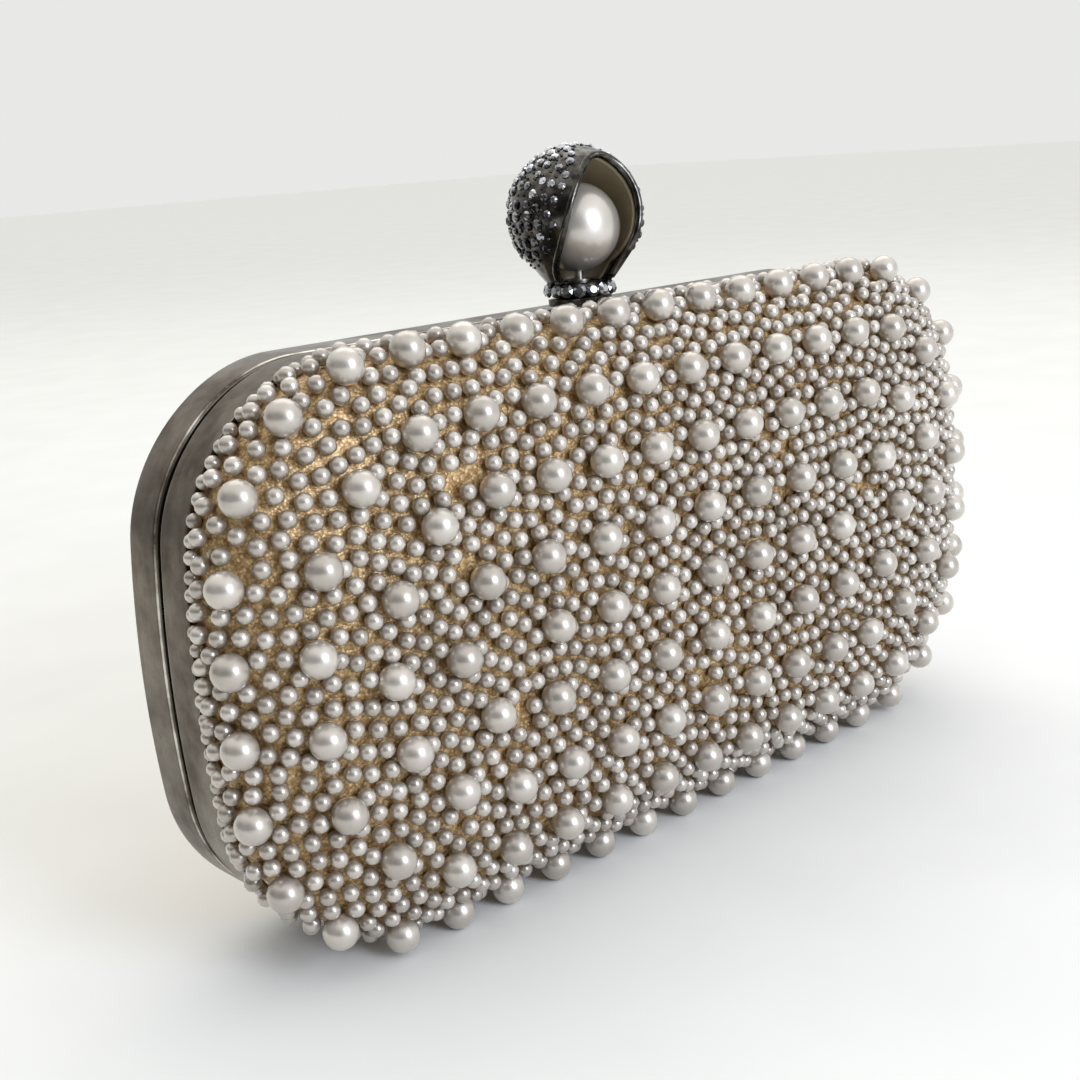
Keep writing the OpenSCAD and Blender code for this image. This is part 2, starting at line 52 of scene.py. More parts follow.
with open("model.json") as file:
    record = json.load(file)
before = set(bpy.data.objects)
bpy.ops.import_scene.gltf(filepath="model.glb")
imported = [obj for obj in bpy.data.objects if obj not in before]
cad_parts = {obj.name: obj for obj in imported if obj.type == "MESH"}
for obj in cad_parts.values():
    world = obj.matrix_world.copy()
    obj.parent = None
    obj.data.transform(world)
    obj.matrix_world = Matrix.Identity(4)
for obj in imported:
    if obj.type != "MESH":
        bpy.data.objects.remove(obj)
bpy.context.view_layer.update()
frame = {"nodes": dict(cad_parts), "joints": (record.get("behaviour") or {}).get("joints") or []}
JOINTS = {joint["name"]: joint for joint in frame["joints"]}
FRAME_LOW, FRAME_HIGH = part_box("front_frame")
HALF_W = (FRAME_HIGH.x - FRAME_LOW.x) / 2
HALF_H = (FRAME_HIGH.z - FRAME_LOW.z) / 2
MID_Z = (FRAME_HIGH.z + FRAME_LOW.z) / 2
TOP_Z = FRAME_HIGH.z
SEAM_Y = JOINTS["main_hinge"]["pos_m"][1]
SEED = 11


def linear(code):
    """An sRGB hex colour as linear values: low channels over 12.92, the others to the power 2.4."""
    c = np.array([int(code[i : i + 2], 16) for i in (1, 3, 5)]) / 255
    return tuple(float(v) for v in np.where(c <= 0.04045, c / 12.92, ((c + 0.055) / 1.055) ** 2.4))


def rgba(colour):
    """A property's colour with a full alpha, as a colour socket takes it."""
    return (*colour, 1.0)


def per(mm):
    """Pattern scale, in repeats per metre, of a pattern whose grain is that many millimetres."""
    return 1000.0 / mm


def length(name, text, mm):
    """A length property; its default is given in millimetres."""
    return FloatProperty(name=name, description=text, default=mm / 1000, unit="LENGTH", precision=5)


def tint(name, text, code):
    """A colour property; its default is an sRGB hex value."""
    return FloatVectorProperty(
        name=name, description=text, default=linear(code), subtype="COLOR", min=0, max=1
    )


# ---- Settings ------------------------------------------------------------------------


class CaseSizes(bpy.types.PropertyGroup):
    """Sizes of the two halves and their frames"""

    corner_r: length("Corner radius", "Radius of the frame's corners", 26.4)
    end_bow: length("End bow", "How far the middle of each end stands out", 5.4)
    crown_depth: length("Front depth", "Seam to the middle of the front", 27.3)
    roll_depth: length("Front roll depth", "Where the front's wall rolls over", 13.8)
    wall_inset: length("Front wall inset", "Front wall inside the frame's outline", 0.3)
    back_depth: length("Back depth", "Seam to the middle of the back", 15)
    back_roll: length("Back roll depth", "Where the back's wall rolls over", 9.2)
    back_inset: length("Back wall inset", "Back wall inside the frame's outline", 1.9)
    rim_inset: length("Rim inset", "Cloth inside the outline where it meets the frame", 1.7)
    dome_power: FloatProperty(name="Roundness", description="Power of the domes' rounding", default=0.6)
    corner_share: FloatProperty(
        name="Corner share", description="Corner radius over half height, near the crown", default=0.85
    )
    band_w: length("Band width", "Seam to the band's far edge", 8.5)
    band_t: length("Band thickness", "Thickness of the frame band", 1.6)
    seam_half: length("Half seam", "Half of the gap between the bands", 0.6)
    shoulder_r: length("Seam shoulder", "Rounding of the bands along the seam", 0.7)
    lip_t: length("Lip thickness", "Thickness of the band's turned lip", 0.7)
    groove: length("Groove depth", "Depth of the groove between lip and shell", 1.4)
    tongue_reach: length("Tongue reach", "How far the tongue goes into the back", 2.6)
    cloth_t: length("Cloth thickness", "Thickness of the glitter cloth", 0.5)
    shell_t: length("Shell thickness", "Thickness of the moulded shell", 1.6)
    tray_t: length("Tray thickness", "Thickness of the satin covered board", 0.7)


class BeadSizes(bpy.types.PropertyGroup):
    """Sizes and numbers of the pearls"""

    large_r: length("Large pearl radius", "Radius of the large pearls", 3)
    bead_gap: length("Glue gap", "Pearl to cloth", 0.05)
    ring_counts: IntVectorProperty(
        name="Large pearls", description="Large pearls in each ring", size=4, default=(42, 34, 28, 20)
    )
    ring_angles: FloatVectorProperty(
        name="Ring places", description="Place of each ring, 0 wall to 90 crown", size=4,
        default=(19, 50, 70, 84),
    )
    row_count: IntProperty(name="Row pearls", description="Large pearls in the middle row", default=7)
    row_pitch: length("Row pitch", "Distance between pearls of the middle row", 13.2)
    small_r: length("Small pearl radius", "Mean radius of the small pearls", 1.5)
    small_step: length("Small pearl step", "Mean distance between small pearls", 3.22)
    evenness: IntProperty(name="Evenness", description="Rounds of spreading the small pearls", default=36)
    edge_r: length("Edge pearl radius", "Radius of the pearls along the frame", 1.28)
    edge_step: length("Edge pearl step", "Distance between the pearls along the frame", 2.8)
    edge_depth: length("Edge pearl depth", "Seam to the pearls along the frame", 10.2)


class ClaspSizes(bpy.types.PropertyGroup):
    """Sizes of the clasp; heights are above the frame"""

    cage_r: length("Cage radius", "Outer radius of the hollow clasp", 12.55)
    rise: length("Cage rise", "Height of the clasp's centre", 17.1)
    wall: length("Cage wall", "Thickness of the casting", 1.3)
    enamel: length("Enamel", "Thickness of the enamel inside", 0.45)
    neck_r: length("Neck radius", "Radius where the cage meets its collar", 6.2)
    neck_z: length("Neck height", "Height where the cage meets its collar", 4.6)
    open_wide: length("Opening half width", "Half width of the egg-shaped opening", 8.6)
    open_up: length("Opening top", "Opening above the centre", 10.7)
    open_down: length("Opening bottom", "Opening below the centre", 14.8)
    turn: FloatProperty(
        name="Turn", description="Turn of the opening about the post", default=math.radians(-10),
        subtype="ANGLE",
    )
    lean: FloatProperty(
        name="Lean", description="Turn of the opening's middle for each metre of height", default=25.0
    )
    rim_r: length("Rim radius", "Radius of the polished rim round the opening", 0.72)
    pearl_r: length("Pearl radius", "Radius of the pearl inside", 8.3)
    pearl_drop: length("Pearl drop", "Pearl's centre below the cage's", 2.4)
    stone_r: length("Stone radius", "Radius of the largest stones on the cage", 1.0)
    stone_step: length("Stone step", "Least distance between stones", 1.95)
    grain_r: length("Grain radius", "Radius of the metal grains that hold the stones", 0.3)
    collar_r: length("Collar radius", "Outer radius of the collar", 6)
    collar_stone_r: length("Collar stone radius", "Radius of the stones on the collar", 1.3)
    foot_r: length("Foot length", "Half length of the foot", 7)
    foot_y: length("Foot width", "Half width of the foot", 4)


class Finishes(bpy.types.PropertyGroup):
    """Colours of the finishes"""

    nickel: tint("Nickel", "Clean nickel plate", "#7b7469")
    # Lighter nickel for the rounded band edges: wear from handling, and a painted highlight line.
    rubbed_highlight: tint("Rubbed nickel", "Nickel plate rubbed bright on the edges", "#d2cfc7")
    # Darker nickel for the random mottled patches: handling marks, and painted reflections.
    tarnish_and_reflection: tint("Tarnish", "Handled, tarnished nickel", "#51473d")
    # A lit and a shaded copy of the cloth's gold, mixed at random from loop to loop: painted glints and
    # painted shade.
    lit_gold_thread: tint("Gold thread", "Lit glitter thread", "#dfbe89")
    gold_shade: tint("Gold shade", "Glitter cloth in its hollows", "#a27e4e")
    pearl_light: tint("Pearl, light", "Lightest pearls", "#cdc6bc")
    pearl_dark: tint("Pearl, dark", "Darkest pearls", "#9f968b")
    gunmetal: tint("Gunmetal", "Black nickel plate", "#6a6761")
    crystal: tint("Crystal", "Foiled stones", "#c9ccd0")
    enamel: tint("Enamel", "Cream enamel in the cage", "#d9c795")
    satin: tint("Satin", "Lining satin", "#b3986e")
    steel: tint("Steel", "Plated steel of hinges and catch", "#b7b6b0")
    shell: tint("Shell", "Moulded shell", "#26231f")
    floor: tint("Floor", "Studio floor", "#e9e9e6")


class StudioSettings(bpy.types.PropertyGroup):
    """Camera and lights; places are measured from the middle of the seam"""

    azimuth: FloatProperty(
        name="Azimuth", description="Camera's direction round the bag", subtype="ANGLE",
        default=math.radians(-42.373),
    )
    elevation: FloatProperty(
        name="Elevation", description="Camera's height as an angle", subtype="ANGLE",
        default=math.radians(14.432),
    )
    roll: FloatProperty(
        name="Roll", description="Camera's lean to its right", subtype="ANGLE",
        default=math.radians(4.055),
    )
    distance: length("Distance", "Camera to the point it looks at", 302.55)
    look_x: length("Looks at X", "Point it looks at, along the bag", -7.69)
    look_y: length("Looks at Y", "Point it looks at, behind the seam", 7.82)
    look_z: length("Looks at Z", "Point it looks at, above the middle", 2.3)
    lens: FloatProperty(name="Lens", description="Focal length on a 36 mm sensor", default=50.75)
    window: FloatProperty(name="Window", description="Light from the right, in watts", default=9.0)
    overhead: FloatProperty(name="Overhead", description="Light from above and behind", default=2.5)
    fill: FloatProperty(name="Fill", description="Weak light from the left", default=0.4)
    ambient: FloatProperty(name="Dim side", description="Strength of the room's dim side", default=0.07)
    backdrop: FloatProperty(name="Backdrop", description="Strength low down behind", default=0.84)
    ceiling: FloatProperty(name="Ceiling", description="Strength above", default=1.22)


GROUPS = {
    "bag_case": CaseSizes,
    "bag_beads": BeadSizes,
    "bag_clasp": ClaspSizes,
    "bag_finishes": Finishes,
    "bag_studio": StudioSettings,
}


# ---- Meshes --------------------------------------------------------------------------


def grid_quads(rows, cols, wrap_cols=False):
    """Quads of a grid of points numbered row by row; a wrapped grid joins its last column to its first."""
    i = np.arange(rows - 1)[:, None]
    j = np.arange(cols if wrap_cols else cols - 1)[None, :]
    k = (j + 1) % cols
    quads = np.stack([i * cols + j, i * cols + k, (i + 1) * cols + k, (i + 1) * cols + j], axis=-1)
    return quads.reshape(-1, 4)


def grid_uvs(along, across):
    """One (along, across) pair in metres for each corner of a grid's quads, in grid_quads' order.

    along has one value per column edge and one more than the columns on a wrapped grid."""
    u = np.stack([along[:-1], along[1:], along[1:], along[:-1]], axis=-1)[None]
    v = np.stack([across[:-1], across[:-1], across[1:], across[1:]], axis=-1)[:, None]
    shape = (len(across) - 1, len(along) - 1, 4)
    return np.stack([np.broadcast_to(u, shape), np.broadcast_to(v, shape)], axis=-1).reshape(-1, 2)


def tiled(points, faces, placed):
    """The same small shape set down many times: placed holds every copy's points."""
    count = len(placed)
    offsets = (np.arange(count) * len(points))[:, None, None]
    return placed.reshape(-1, 3), (faces[None] + offsets).reshape(-1, faces.shape[1])


def weld(mesh, reach=2e-7):
    """Joins points that fall together, so that seams and poles are closed, and turns faces outwards."""
    work = bmesh.new()
    work.from_mesh(mesh)
    bmesh.ops.remove_doubles(work, verts=work.verts, dist=reach)
    bmesh.ops.dissolve_degenerate(work, edges=work.edges, dist=reach)
    bmesh.ops.recalc_face_normals(work, faces=work.faces)
    work.to_mesh(mesh)
    work.free()


def new_piece(name, points, faces, material, body, replaces=(), smooth=True, uvs=None,
              tone=None, welded=True, parts=None):
    """A mesh object at the origin from arrays of points and faces, riding on its body.

    faces is a list of index arrays, one per face size. uvs go with the corners of the first array.
    tone is one number per point: random lightness, which on the bands also carries the painted edge
    highlight and on the cage's stones painted light from above. parts is one material index per face."""
    faces = faces if isinstance(faces, list) else [faces]
    corners = np.concatenate([f.ravel() for f in faces]).astype(np.int32)
    sizes = np.concatenate([np.full(len(f), f.shape[1]) for f in faces])
    mesh = bpy.data.meshes.new(name)
    mesh.vertices.add(len(points))
    mesh.vertices.foreach_set("co", np.ascontiguousarray(points, np.float32).ravel())
    mesh.loops.add(len(corners))
    mesh.loops.foreach_set("vertex_index", corners)
    mesh.polygons.add(len(sizes))
    mesh.polygons.foreach_set("loop_start", np.concatenate([[0], np.cumsum(sizes)[:-1]]).astype(np.int32))
    if parts is not None:
        mesh.polygons.foreach_set("material_index", np.asarray(parts, np.int32))
    mesh.update(calc_edges=True)
    if uvs is not None:
        layer = mesh.uv_layers.new(name="UVMap")
        full = np.zeros((len(corners), 2), np.float32)
        full[: len(uvs)] = uvs
        layer.data.foreach_set("uv", full.ravel())
    if tone is not None:
        mesh.attributes.new("tone", "FLOAT", "POINT").data.foreach_set("value", np.float32(tone))
    if welded:
        weld(mesh)
    mesh.validate()
    mesh.polygons.foreach_set("use_smooth", np.full(len(mesh.polygons), smooth))
    for finish in material if isinstance(material, list) else [material]:
        mesh.materials.append(finish)
    piece = bpy.data.objects.new(name, mesh)
    bpy.context.scene.collection.objects.link(piece)
    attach(piece, body)
    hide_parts(*replaces)
    return piece


def unit(v):
    """Vectors along the last axis at length one."""
    return v / np.maximum(np.linalg.norm(v, axis=-1, keepdims=True), 1e-12)


def ball(steps):
    """A unit ball of six curved square patches: tangent-spaced grids on a cube, pushed out to radius one."""
    t = np.tan(np.linspace(-math.pi / 4, math.pi / 4, steps + 1))
    a, b = np.meshgrid(t, t, indexing="ij")
    one = np.ones_like(a)
    sides = [(one, a, b), (-one, b, a), (b, one, a), (a, -one, b), (a, b, one), (b, a, -one)]
    points = unit(np.concatenate([np.stack(s, axis=-1).reshape(-1, 3) for s in sides]))
    quads = grid_quads(steps + 1, steps + 1)
    quads = np.concatenate([quads + k * (steps + 1) ** 2 for k in range(6)])
    _, first, same = np.unique(np.round(points, 6), axis=0, return_index=True, return_inverse=True)
    return points[first], same.ravel()[quads]


def balls(centres, radii, steps):
    """Many balls as one set of points and quads."""
    shape, quads = ball(steps)
    placed = centres[:, None, :] + np.reshape(radii, (-1, 1, 1)) * shape[None]
    return (*tiled(shape, quads, placed), len(shape))


def rounded(corners, radii, steps=4):
    """A closed outline whose corners are arcs: each arc runs between the points where it touches the two
    sides, and swings about the point that lies its radius inside both."""
    pts = np.array(corners, float)
    out = []
    for i, r in enumerate(radii):
        here, before, after = pts[i], pts[i - 1], pts[(i + 1) % len(pts)]
        to_b, to_a = unit(before - here), unit(after - here)
        half = math.acos(np.clip(to_b @ to_a, -1, 1)) / 2
        mid = here + unit(to_b + to_a) * r / math.sin(half)
        start, end = here + to_b * r / math.tan(half) - mid, here + to_a * r / math.tan(half) - mid
        swing = math.pi - 2 * half
        t = np.linspace(0, 1, steps + 1)[:, None]
        out.append(mid + (np.sin((1 - t) * swing) * start + np.sin(t * swing) * end) / math.sin(swing))
    return np.concatenate(out)


# ---- Outline and domes ---------------------------------------------------------------


def outline(inset, corner, p):
    """The case's rounded outline as (x, z from the middle).

    p runs from 0 to 12 clockwise from the middle of the top: in each quarter one unit is straight, one is
    the corner and one is the end. Both ends bow outwards, so x shrinks with the square of the height."""
    case = bpy.context.scene.bag_case
    p = np.mod(p, 12.0)
    q = np.floor(p / 3)
    u = np.where(q % 2 == 0, p - 3 * q, 3 - (p - 3 * q))
    a, b, r = HALF_W - inset, HALF_H - inset, corner
    turn = np.clip(u - 1, 0, 1) * math.pi / 2
    x = np.where(u < 1, u * (a - r), a - r + r * np.sin(turn))
    z = np.where(u < 2, b - r + r * np.cos(turn), (b - r) * (3 - u))
    x = np.where(q < 2, x, -x)
    z = np.where((q == 0) | (q == 3), z, -z)
    return x * (1 - case.end_bow / HALF_W * (z / HALF_H) ** 2), z


def around(n_top, n_corner, n_end):
    """Values of p once round the outline, with so many steps in each part of a quarter."""
    quarter = np.concatenate([
        np.linspace(0, 1, n_top, endpoint=False),
        np.linspace(1, 2, n_corner, endpoint=False),
        np.linspace(2, 3, n_end + 1),
    ])
    return np.concatenate([quarter[:-1], 6 - quarter[:0:-1], 6 + quarter[:-1], 12 - quarter[:0:-1]])


class Dome:
    """One half's domed surface. front is -1 for the front half and 1 for the back half.

    The inset grows as one minus a power of the cosine of the angle, and the depth with its sine."""

    def __init__(self, front, inset, roll, crown):
        self.front, self.inset0, self.roll, self.crown = front, inset, roll, crown
        self.case = bpy.context.scene.bag_case

    def inset(self, a):
        fall = np.maximum(np.cos(a), 0.0) ** self.case.dome_power
        return self.inset0 + (HALF_H - self.inset0) * (1 - fall)

    def depth(self, a):
        return self.roll + (self.crown - self.roll) * np.sin(a)

    def corner(self, a):
        return np.minimum(self.case.corner_r, self.case.corner_share * (HALF_H - self.inset(a)))

    def slope(self, a):
        """Unit normal of the profile, as (outwards, forwards)."""
        power = self.case.dome_power
        out = (self.crown - self.roll) * np.cos(a)
        on = (HALF_H - self.inset0) * power * np.maximum(np.cos(a), 1e-9) ** (power - 1) * np.sin(a)
        size = np.hypot(out, on)
        return out / size, on / size

    def place(self, x, z, depth):
        """A point of the outline at a depth from the seam, in the frame."""
        x, z, depth = np.broadcast_arrays(x, z, depth)
        return np.stack([x, SEAM_Y + self.front * depth, MID_Z + z], axis=-1)

    def ring(self, a, t, p):
        """Points at angle a and loop places p, t below the outer face."""
        out, on = self.slope(a)
        x, z = outline(self.inset(a) + t * out, np.maximum(self.corner(a) - t * out, 0), p)
        return self.place(x, z, self.depth(a) - t * on)

    def wall(self, inset, depth, p):
        """Points of a plain ring at a given inset and depth."""
        return self.place(*outline(inset, self.case.corner_r - inset, p), depth)

    def normal(self, a, p):
        """Outward unit normal, from two short steps over the surface."""
        along = self.ring(a, 0, p + 0.01) - self.ring(a, 0, p - 0.01)
        up = self.ring(a + 0.002, 0, p) - self.ring(a - 0.002, 0, p)
        n = unit(np.cross(along, up))
        return n * np.sign(n[..., 1:2]) * self.front


def front_dome():
    """The front half's dome, from the settings."""
    case = bpy.context.scene.bag_case
    return Dome(-1, case.wall_inset, case.roll_depth, case.crown_depth)


def back_dome():
    """The back half's dome, from the settings."""
    case = bpy.context.scene.bag_case
    return Dome(1, case.back_inset, case.back_roll, case.back_depth)


def along_ring(dome, a, share):
    """The place p at a share of the way round a ring, measured by length along it."""
    r, inset = dome.corner(a), dome.inset(a)
    top, arc, end = HALF_W - inset - r, math.pi / 2 * r, HALF_H - inset - r
    quarter = top + arc + end
    q = np.floor(4 * share)
    f = 4 * share - q
    run = quarter * np.where(q % 2 == 0, f, 1 - f)
    u = np.where(run < top, run / top, np.where(run < top + arc, 1 + (run - top) / arc,
                                                2 + (run - top - arc) / np.maximum(end, 1e-9)))
    return np.where(q % 2 == 0, 3 * q + u, 3 * q + 3 - u)


def skin(name, dome, t_out, t_in, rims_out, rims_in, first, material, body, replaces):
    """A closed skin: the dome's outer face, the face below it, and the rim rings that join them.

    Rows run from the crown inside, down the inner face, round the rim and up the outer face."""
    p = around(18, 26, 10)
    angles = np.radians(np.concatenate([[first], np.linspace(first, 90, 40)[1:]]))
    rows = [dome.ring(a, t_in, p) for a in angles[::-1]]
    rows += [dome.wall(inset, depth, p) for inset, depth in rims_in]
    rows += [dome.wall(inset, depth, p) for inset, depth in rims_out]
    rows += [dome.ring(a, t_out, p) for a in angles]
    points = np.array(rows)
    steps = np.linalg.norm(np.diff(points[:, 0], axis=0), axis=-1)
    across = np.concatenate([[0], np.cumsum(steps)])
    widest = np.append(points[len(rows) // 2], points[len(rows) // 2][:1], axis=0)
    along = np.concatenate([[0], np.cumsum(np.linalg.norm(np.diff(widest, axis=0), axis=-1))])
    return new_piece(name, points.reshape(-1, 3), grid_quads(len(rows), len(p), True), material, body,
                     replaces, uvs=grid_uvs(along, across))


# ---- Materials -----------------------------------------------------------------------


def node(tree, kind, inputs=None, **settings):
    """Adds a node, sets its settings and socket values, and links the values that are sockets."""
    made = tree.nodes.new(kind)
    for key, value in settings.items():
        setattr(made, key, value)
    for key, value in (inputs or {}).items():
        if isinstance(value, bpy.types.NodeSocket):
            tree.links.new(value, made.inputs[key])
        else:
            made.inputs[key].default_value = value
    return made


def noise(tree, at, scale, detail, roughness=0.5):
    """A noise pattern's value."""
    return node(tree, "ShaderNodeTexNoise", {"Vector": at, "Scale": scale, "Detail": detail,
                                             "Roughness": roughness}).outputs[0]


def stretched(tree, at, *mm):
    """Coordinates whose pattern has a different grain along each axis."""
    return node(tree, "ShaderNodeMapping", {"Vector": at, "Scale": [per(v) for v in mm]}).outputs[0]


def ramp(tree, value, low, dark, high, light):
    """A colour that goes from dark to light while the value goes from low to high."""
    made = node(tree, "ShaderNodeValToRGB", {"Fac": value})
    for stop, place, colour in zip(made.color_ramp.elements, (low, high), (dark, light)):
        stop.position, stop.color = place, rgba(colour)
    return made.outputs[0]


def remap(tree, value, low, high, to_low=0.0, to_high=1.0, **settings):
    """A value moved from one range to another."""
    return node(tree, "ShaderNodeMapRange", {"Value": value, "From Min": low, "From Max": high,
                                             "To Min": to_low, "To Max": to_high}, **settings).outputs[0]


def mix(tree, share, first, second, blend="MIX"):
    """Two colours mixed; each is a socket or a property's colour."""
    first, second = (c if isinstance(c, bpy.types.NodeSocket) else rgba(c) for c in (first, second))
    return node(tree, "ShaderNodeMix", {0: share, 6: first, 7: second}, data_type="RGBA",
                blend_type=blend).outputs[2]


def maths(tree, operation, first, second):
    return node(tree, "ShaderNodeMath", {0: first, 1: second}, operation=operation).outputs[0]


def bump(tree, height, strength, distance):
    return node(tree, "ShaderNodeBump", {"Height": height, "Strength": strength,
                                         "Distance": distance}).outputs[0]


def tone_and_light_of(tree):
    """The value that a piece's points carry: random lightness, with the painted edge highlight on the bands
    and painted light from above on the cage's stones.
    """
    return node(tree, "ShaderNodeAttribute", attribute_name="tone").outputs["Fac"]


def material(**constants):
    """Makes a function that fills in a material into one that gives the material, made at its first use.

    The constants are set on the Principled shader's own sockets. The function gives the sockets that
    drive the others. The material has the function's name, or the name it is asked for by."""
    def wrap(build):
        def get(name=build.__name__, *values):
            made = bpy.data.materials.get(name)
            if made:
                return made
            made = bpy.data.materials.new(name)
            made.use_nodes = True
            tree = made.node_tree
            shader = next(n for n in tree.nodes if n.type == "BSDF_PRINCIPLED")
            for key, value in constants.items():
                shader.inputs[key.replace("_", " ")].default_value = value
            place = node(tree, "ShaderNodeTexCoord").outputs["Object"]
            driven = build(tree, place, bpy.context.scene.bag_finishes, *values)
            for key, socket in driven.items():
                tree.links.new(socket, shader.inputs[key.replace("_", " ")])
            return made
        return get
    return wrap


@material(Metallic=1.0)
def aged_nickel_plate(tree, place, look):
    """Sheet steel, nickel plated and brushed lengthways: fine streaks, and darker mottled patches at random,
    partly handling marks and partly painted reflections. The turned edges carry a higher tone and are
    lighter: partly wear, partly a painted highlight line."""
    uv = node(tree, "ShaderNodeUVMap", uv_map="UVMap").outputs["UV"]
    streaks = noise(tree, stretched(tree, uv, 14, 0.35, 1000), 1.0, 3.0)
    patches = noise(tree, place, per(11), 5.0, 0.62)
    # Darker mottled patches at random, about 11 mm across: handling marks, and painted reflections.
    dull_and_reflection = ramp(tree, patches, 0.36, (0, 0, 0), 0.68, (1, 1, 1))
    plate = mix(tree, dull_and_reflection, look.tarnish_and_reflection, look.nickel)
    tinted = mix(tree, 1.0, plate, remap(tree, streaks, 0.3, 0.7, 0.82, 1.08), "MULTIPLY")
    # Mask of the rounded edges where the plate is clean: a lighter colour there, as wear and as a painted
    # highlight.
    wear_and_highlight = remap(tree, maths(tree, "MULTIPLY", tone_and_light_of(tree), patches), 0.36, 0.56)
    return {
        "Base_Color": mix(tree, wear_and_highlight, tinted, look.rubbed_highlight),
        "Roughness": remap(tree, patches, 0.35, 0.65, 0.42, 0.24),
        "Normal": bump(tree, streaks, 0.12, 0.00005),
    }


@material(Metallic=0.2, Roughness=0.75)
def painted_shade_groove(tree, place, look):
    """The inside of the turned lip, painted nearly black as shade in the deep groove between lip and shell:
    slightly uneven.
    """
    crust = noise(tree, place, per(1.2), 4.0)
    return {"Base_Color": ramp(tree, crust, 0.3, linear("#0b0a09"), 0.8, linear("#1d1915"))}


@material(Metallic=0.4, Roughness=0.42)
def glitter_cloth(tree, place, look):
    """Knitted lamé: loops of flat gold thread, drawn 0.5 mm across, each lying at its own tilt. Each loop's
    colour is picked at random between a lit and a shaded copy of the gold, so single loops flash as painted
    glints while their neighbours stay brown as painted shade. Each loop is also painted lighter in its
    middle and darker at its edge: painted light and shade."""
    wander = node(tree, "ShaderNodeTexNoise", {"Vector": place, "Scale": per(2.5), "Detail": 2.0})
    drift = node(tree, "ShaderNodeVectorMath", {0: wander.outputs[1], "Scale": 0.00025}, operation="SCALE")
    bent = node(tree, "ShaderNodeVectorMath", {0: place, 1: drift.outputs[0]}, operation="ADD")
    loops = node(tree, "ShaderNodeTexVoronoi", {"Vector": bent.outputs[0], "Scale": per(0.5)})
    each = node(tree, "ShaderNodeSeparateColor", {"Color": loops.outputs["Color"]})
    # Each loop's colour, at random between the lit and the shaded gold: painted glints and painted shade.
    shade = ramp(tree, each.outputs[0], 0.15, look.gold_shade, 0.9, look.lit_gold_thread)
    # Lighter in each loop's middle and darker towards its edge: painted light and shade on the loops.
    painted_loop_shading = remap(tree, loops.outputs["Distance"], 0.1, 0.75, 1.1, 0.7)
    tilt = maths(tree, "SUBTRACT", each.outputs[1], loops.outputs["Distance"])
    return {
        "Base_Color": mix(tree, 1.0, shade, painted_loop_shading, "MULTIPLY"),
        "Normal": bump(tree, tilt, 0.55, 0.00015),
    }


@material(Metallic=0.6, Roughness=0.34, IOR=1.55, Coat_Weight=1.0, Coat_Roughness=0.09, Coat_IOR=1.6,
          Subsurface_Weight=0.12, Subsurface_Scale=0.001, Subsurface_Radius=(1.0, 0.7, 0.5))
def pearl_lacquer(tree, place, look, bloom):
    """Imitation pearl: a plastic bead under many coats of mica lacquer. The mica gives a soft silvery
    glow, the top coat a small sharp highlight. Each bead has its own tone; bloom is the lacquer's drift."""
    swirl = noise(tree, place, per(bloom), 3.0)
    share = remap(tree, maths(tree, "ADD", tone_and_light_of(tree), swirl), 0.4, 1.6)
    return {
        "Base_Color": mix(tree, share, look.pearl_dark, look.pearl_light),
        "Normal": bump(tree, swirl, 0.05, 0.0001),
    }


@material(Metallic=1.0)
def gunmetal_plate(tree, place, look):
    """Zinc casting under black nickel: near-black, glossy on the high spots, with casting grain and
    small pits between the stones."""
    grain = noise(tree, place, per(1.6), 5.0)
    return {
        "Base_Color": ramp(tree, grain, 0.35, linear("#302e2b"), 0.7, look.gunmetal),
        "Roughness": remap(tree, grain, 0.3, 0.7, 0.3, 0.12),
        "Normal": bump(tree, grain, 0.25, 0.0001),
    }


@material(Metallic=0.9, Roughness=0.06, IOR=1.58, Coat_Weight=1.0, Coat_Roughness=0.02)
def foiled_crystal(tree, place, look):
    """Flat-backed glass stones with silver foil: every facet is a small bright mirror under clear glass.
    Each stone's colour runs from dark to light by the value it carries, times a fine noise: random
    lightness, and painted light from above on the cage's upper stones."""
    tone_and_top_light = maths(tree, "MULTIPLY", tone_and_light_of(tree), noise(tree, place, per(0.8), 2.0))
    return {"Base_Color": ramp(tree, tone_and_top_light, 0.05, linear("#33333a"), 0.45, look.crystal)}


@material(Roughness=0.3, IOR=1.5, Coat_Weight=0.5)
def cream_enamel(tree, place, look):
    """Soft cold enamel brushed into the casting: glossy, cream, a little thicker and browner in places."""
    pool = noise(tree, place, per(6), 3.0)
    return {
        "Base_Color": ramp(tree, pool, 0.3, linear("#b7a271"), 0.7, look.enamel),
        "Normal": bump(tree, pool, 0.15, 0.0003),
    }


@material(Roughness=0.42, Sheen_Weight=0.6, Sheen_Roughness=0.35)
def lining_satin(tree, place, look):
    """Polyester satin on board: long floats, drawn every 0.5 mm, with a soft sheen across them."""
    floats = noise(tree, stretched(tree, place, 0.5, 0.5, 4), 1.0, 2.0)
    both = maths(tree, "ADD", floats, noise(tree, place, per(22), 2.0))
    return {
        "Base_Color": mix(tree, remap(tree, both, 0.6, 1.4), linear("#8d7450"), look.satin),
        "Normal": bump(tree, both, 0.3, 0.0003),
    }


@material(Metallic=1.0)
def plated_steel(tree, place, look):
    """Stamped steel with bright zinc plate: clean metal with faint rolling lines and a few dull spots."""
    rolled = noise(tree, stretched(tree, place, 6, 0.4, 0.4), 1.0, 3.0)
    return {
        "Base_Color": ramp(tree, rolled, 0.3, linear("#85837d"), 0.7, look.steel),
        "Roughness": remap(tree, rolled, 0.0, 1.0, 0.45, 0.2),
    }


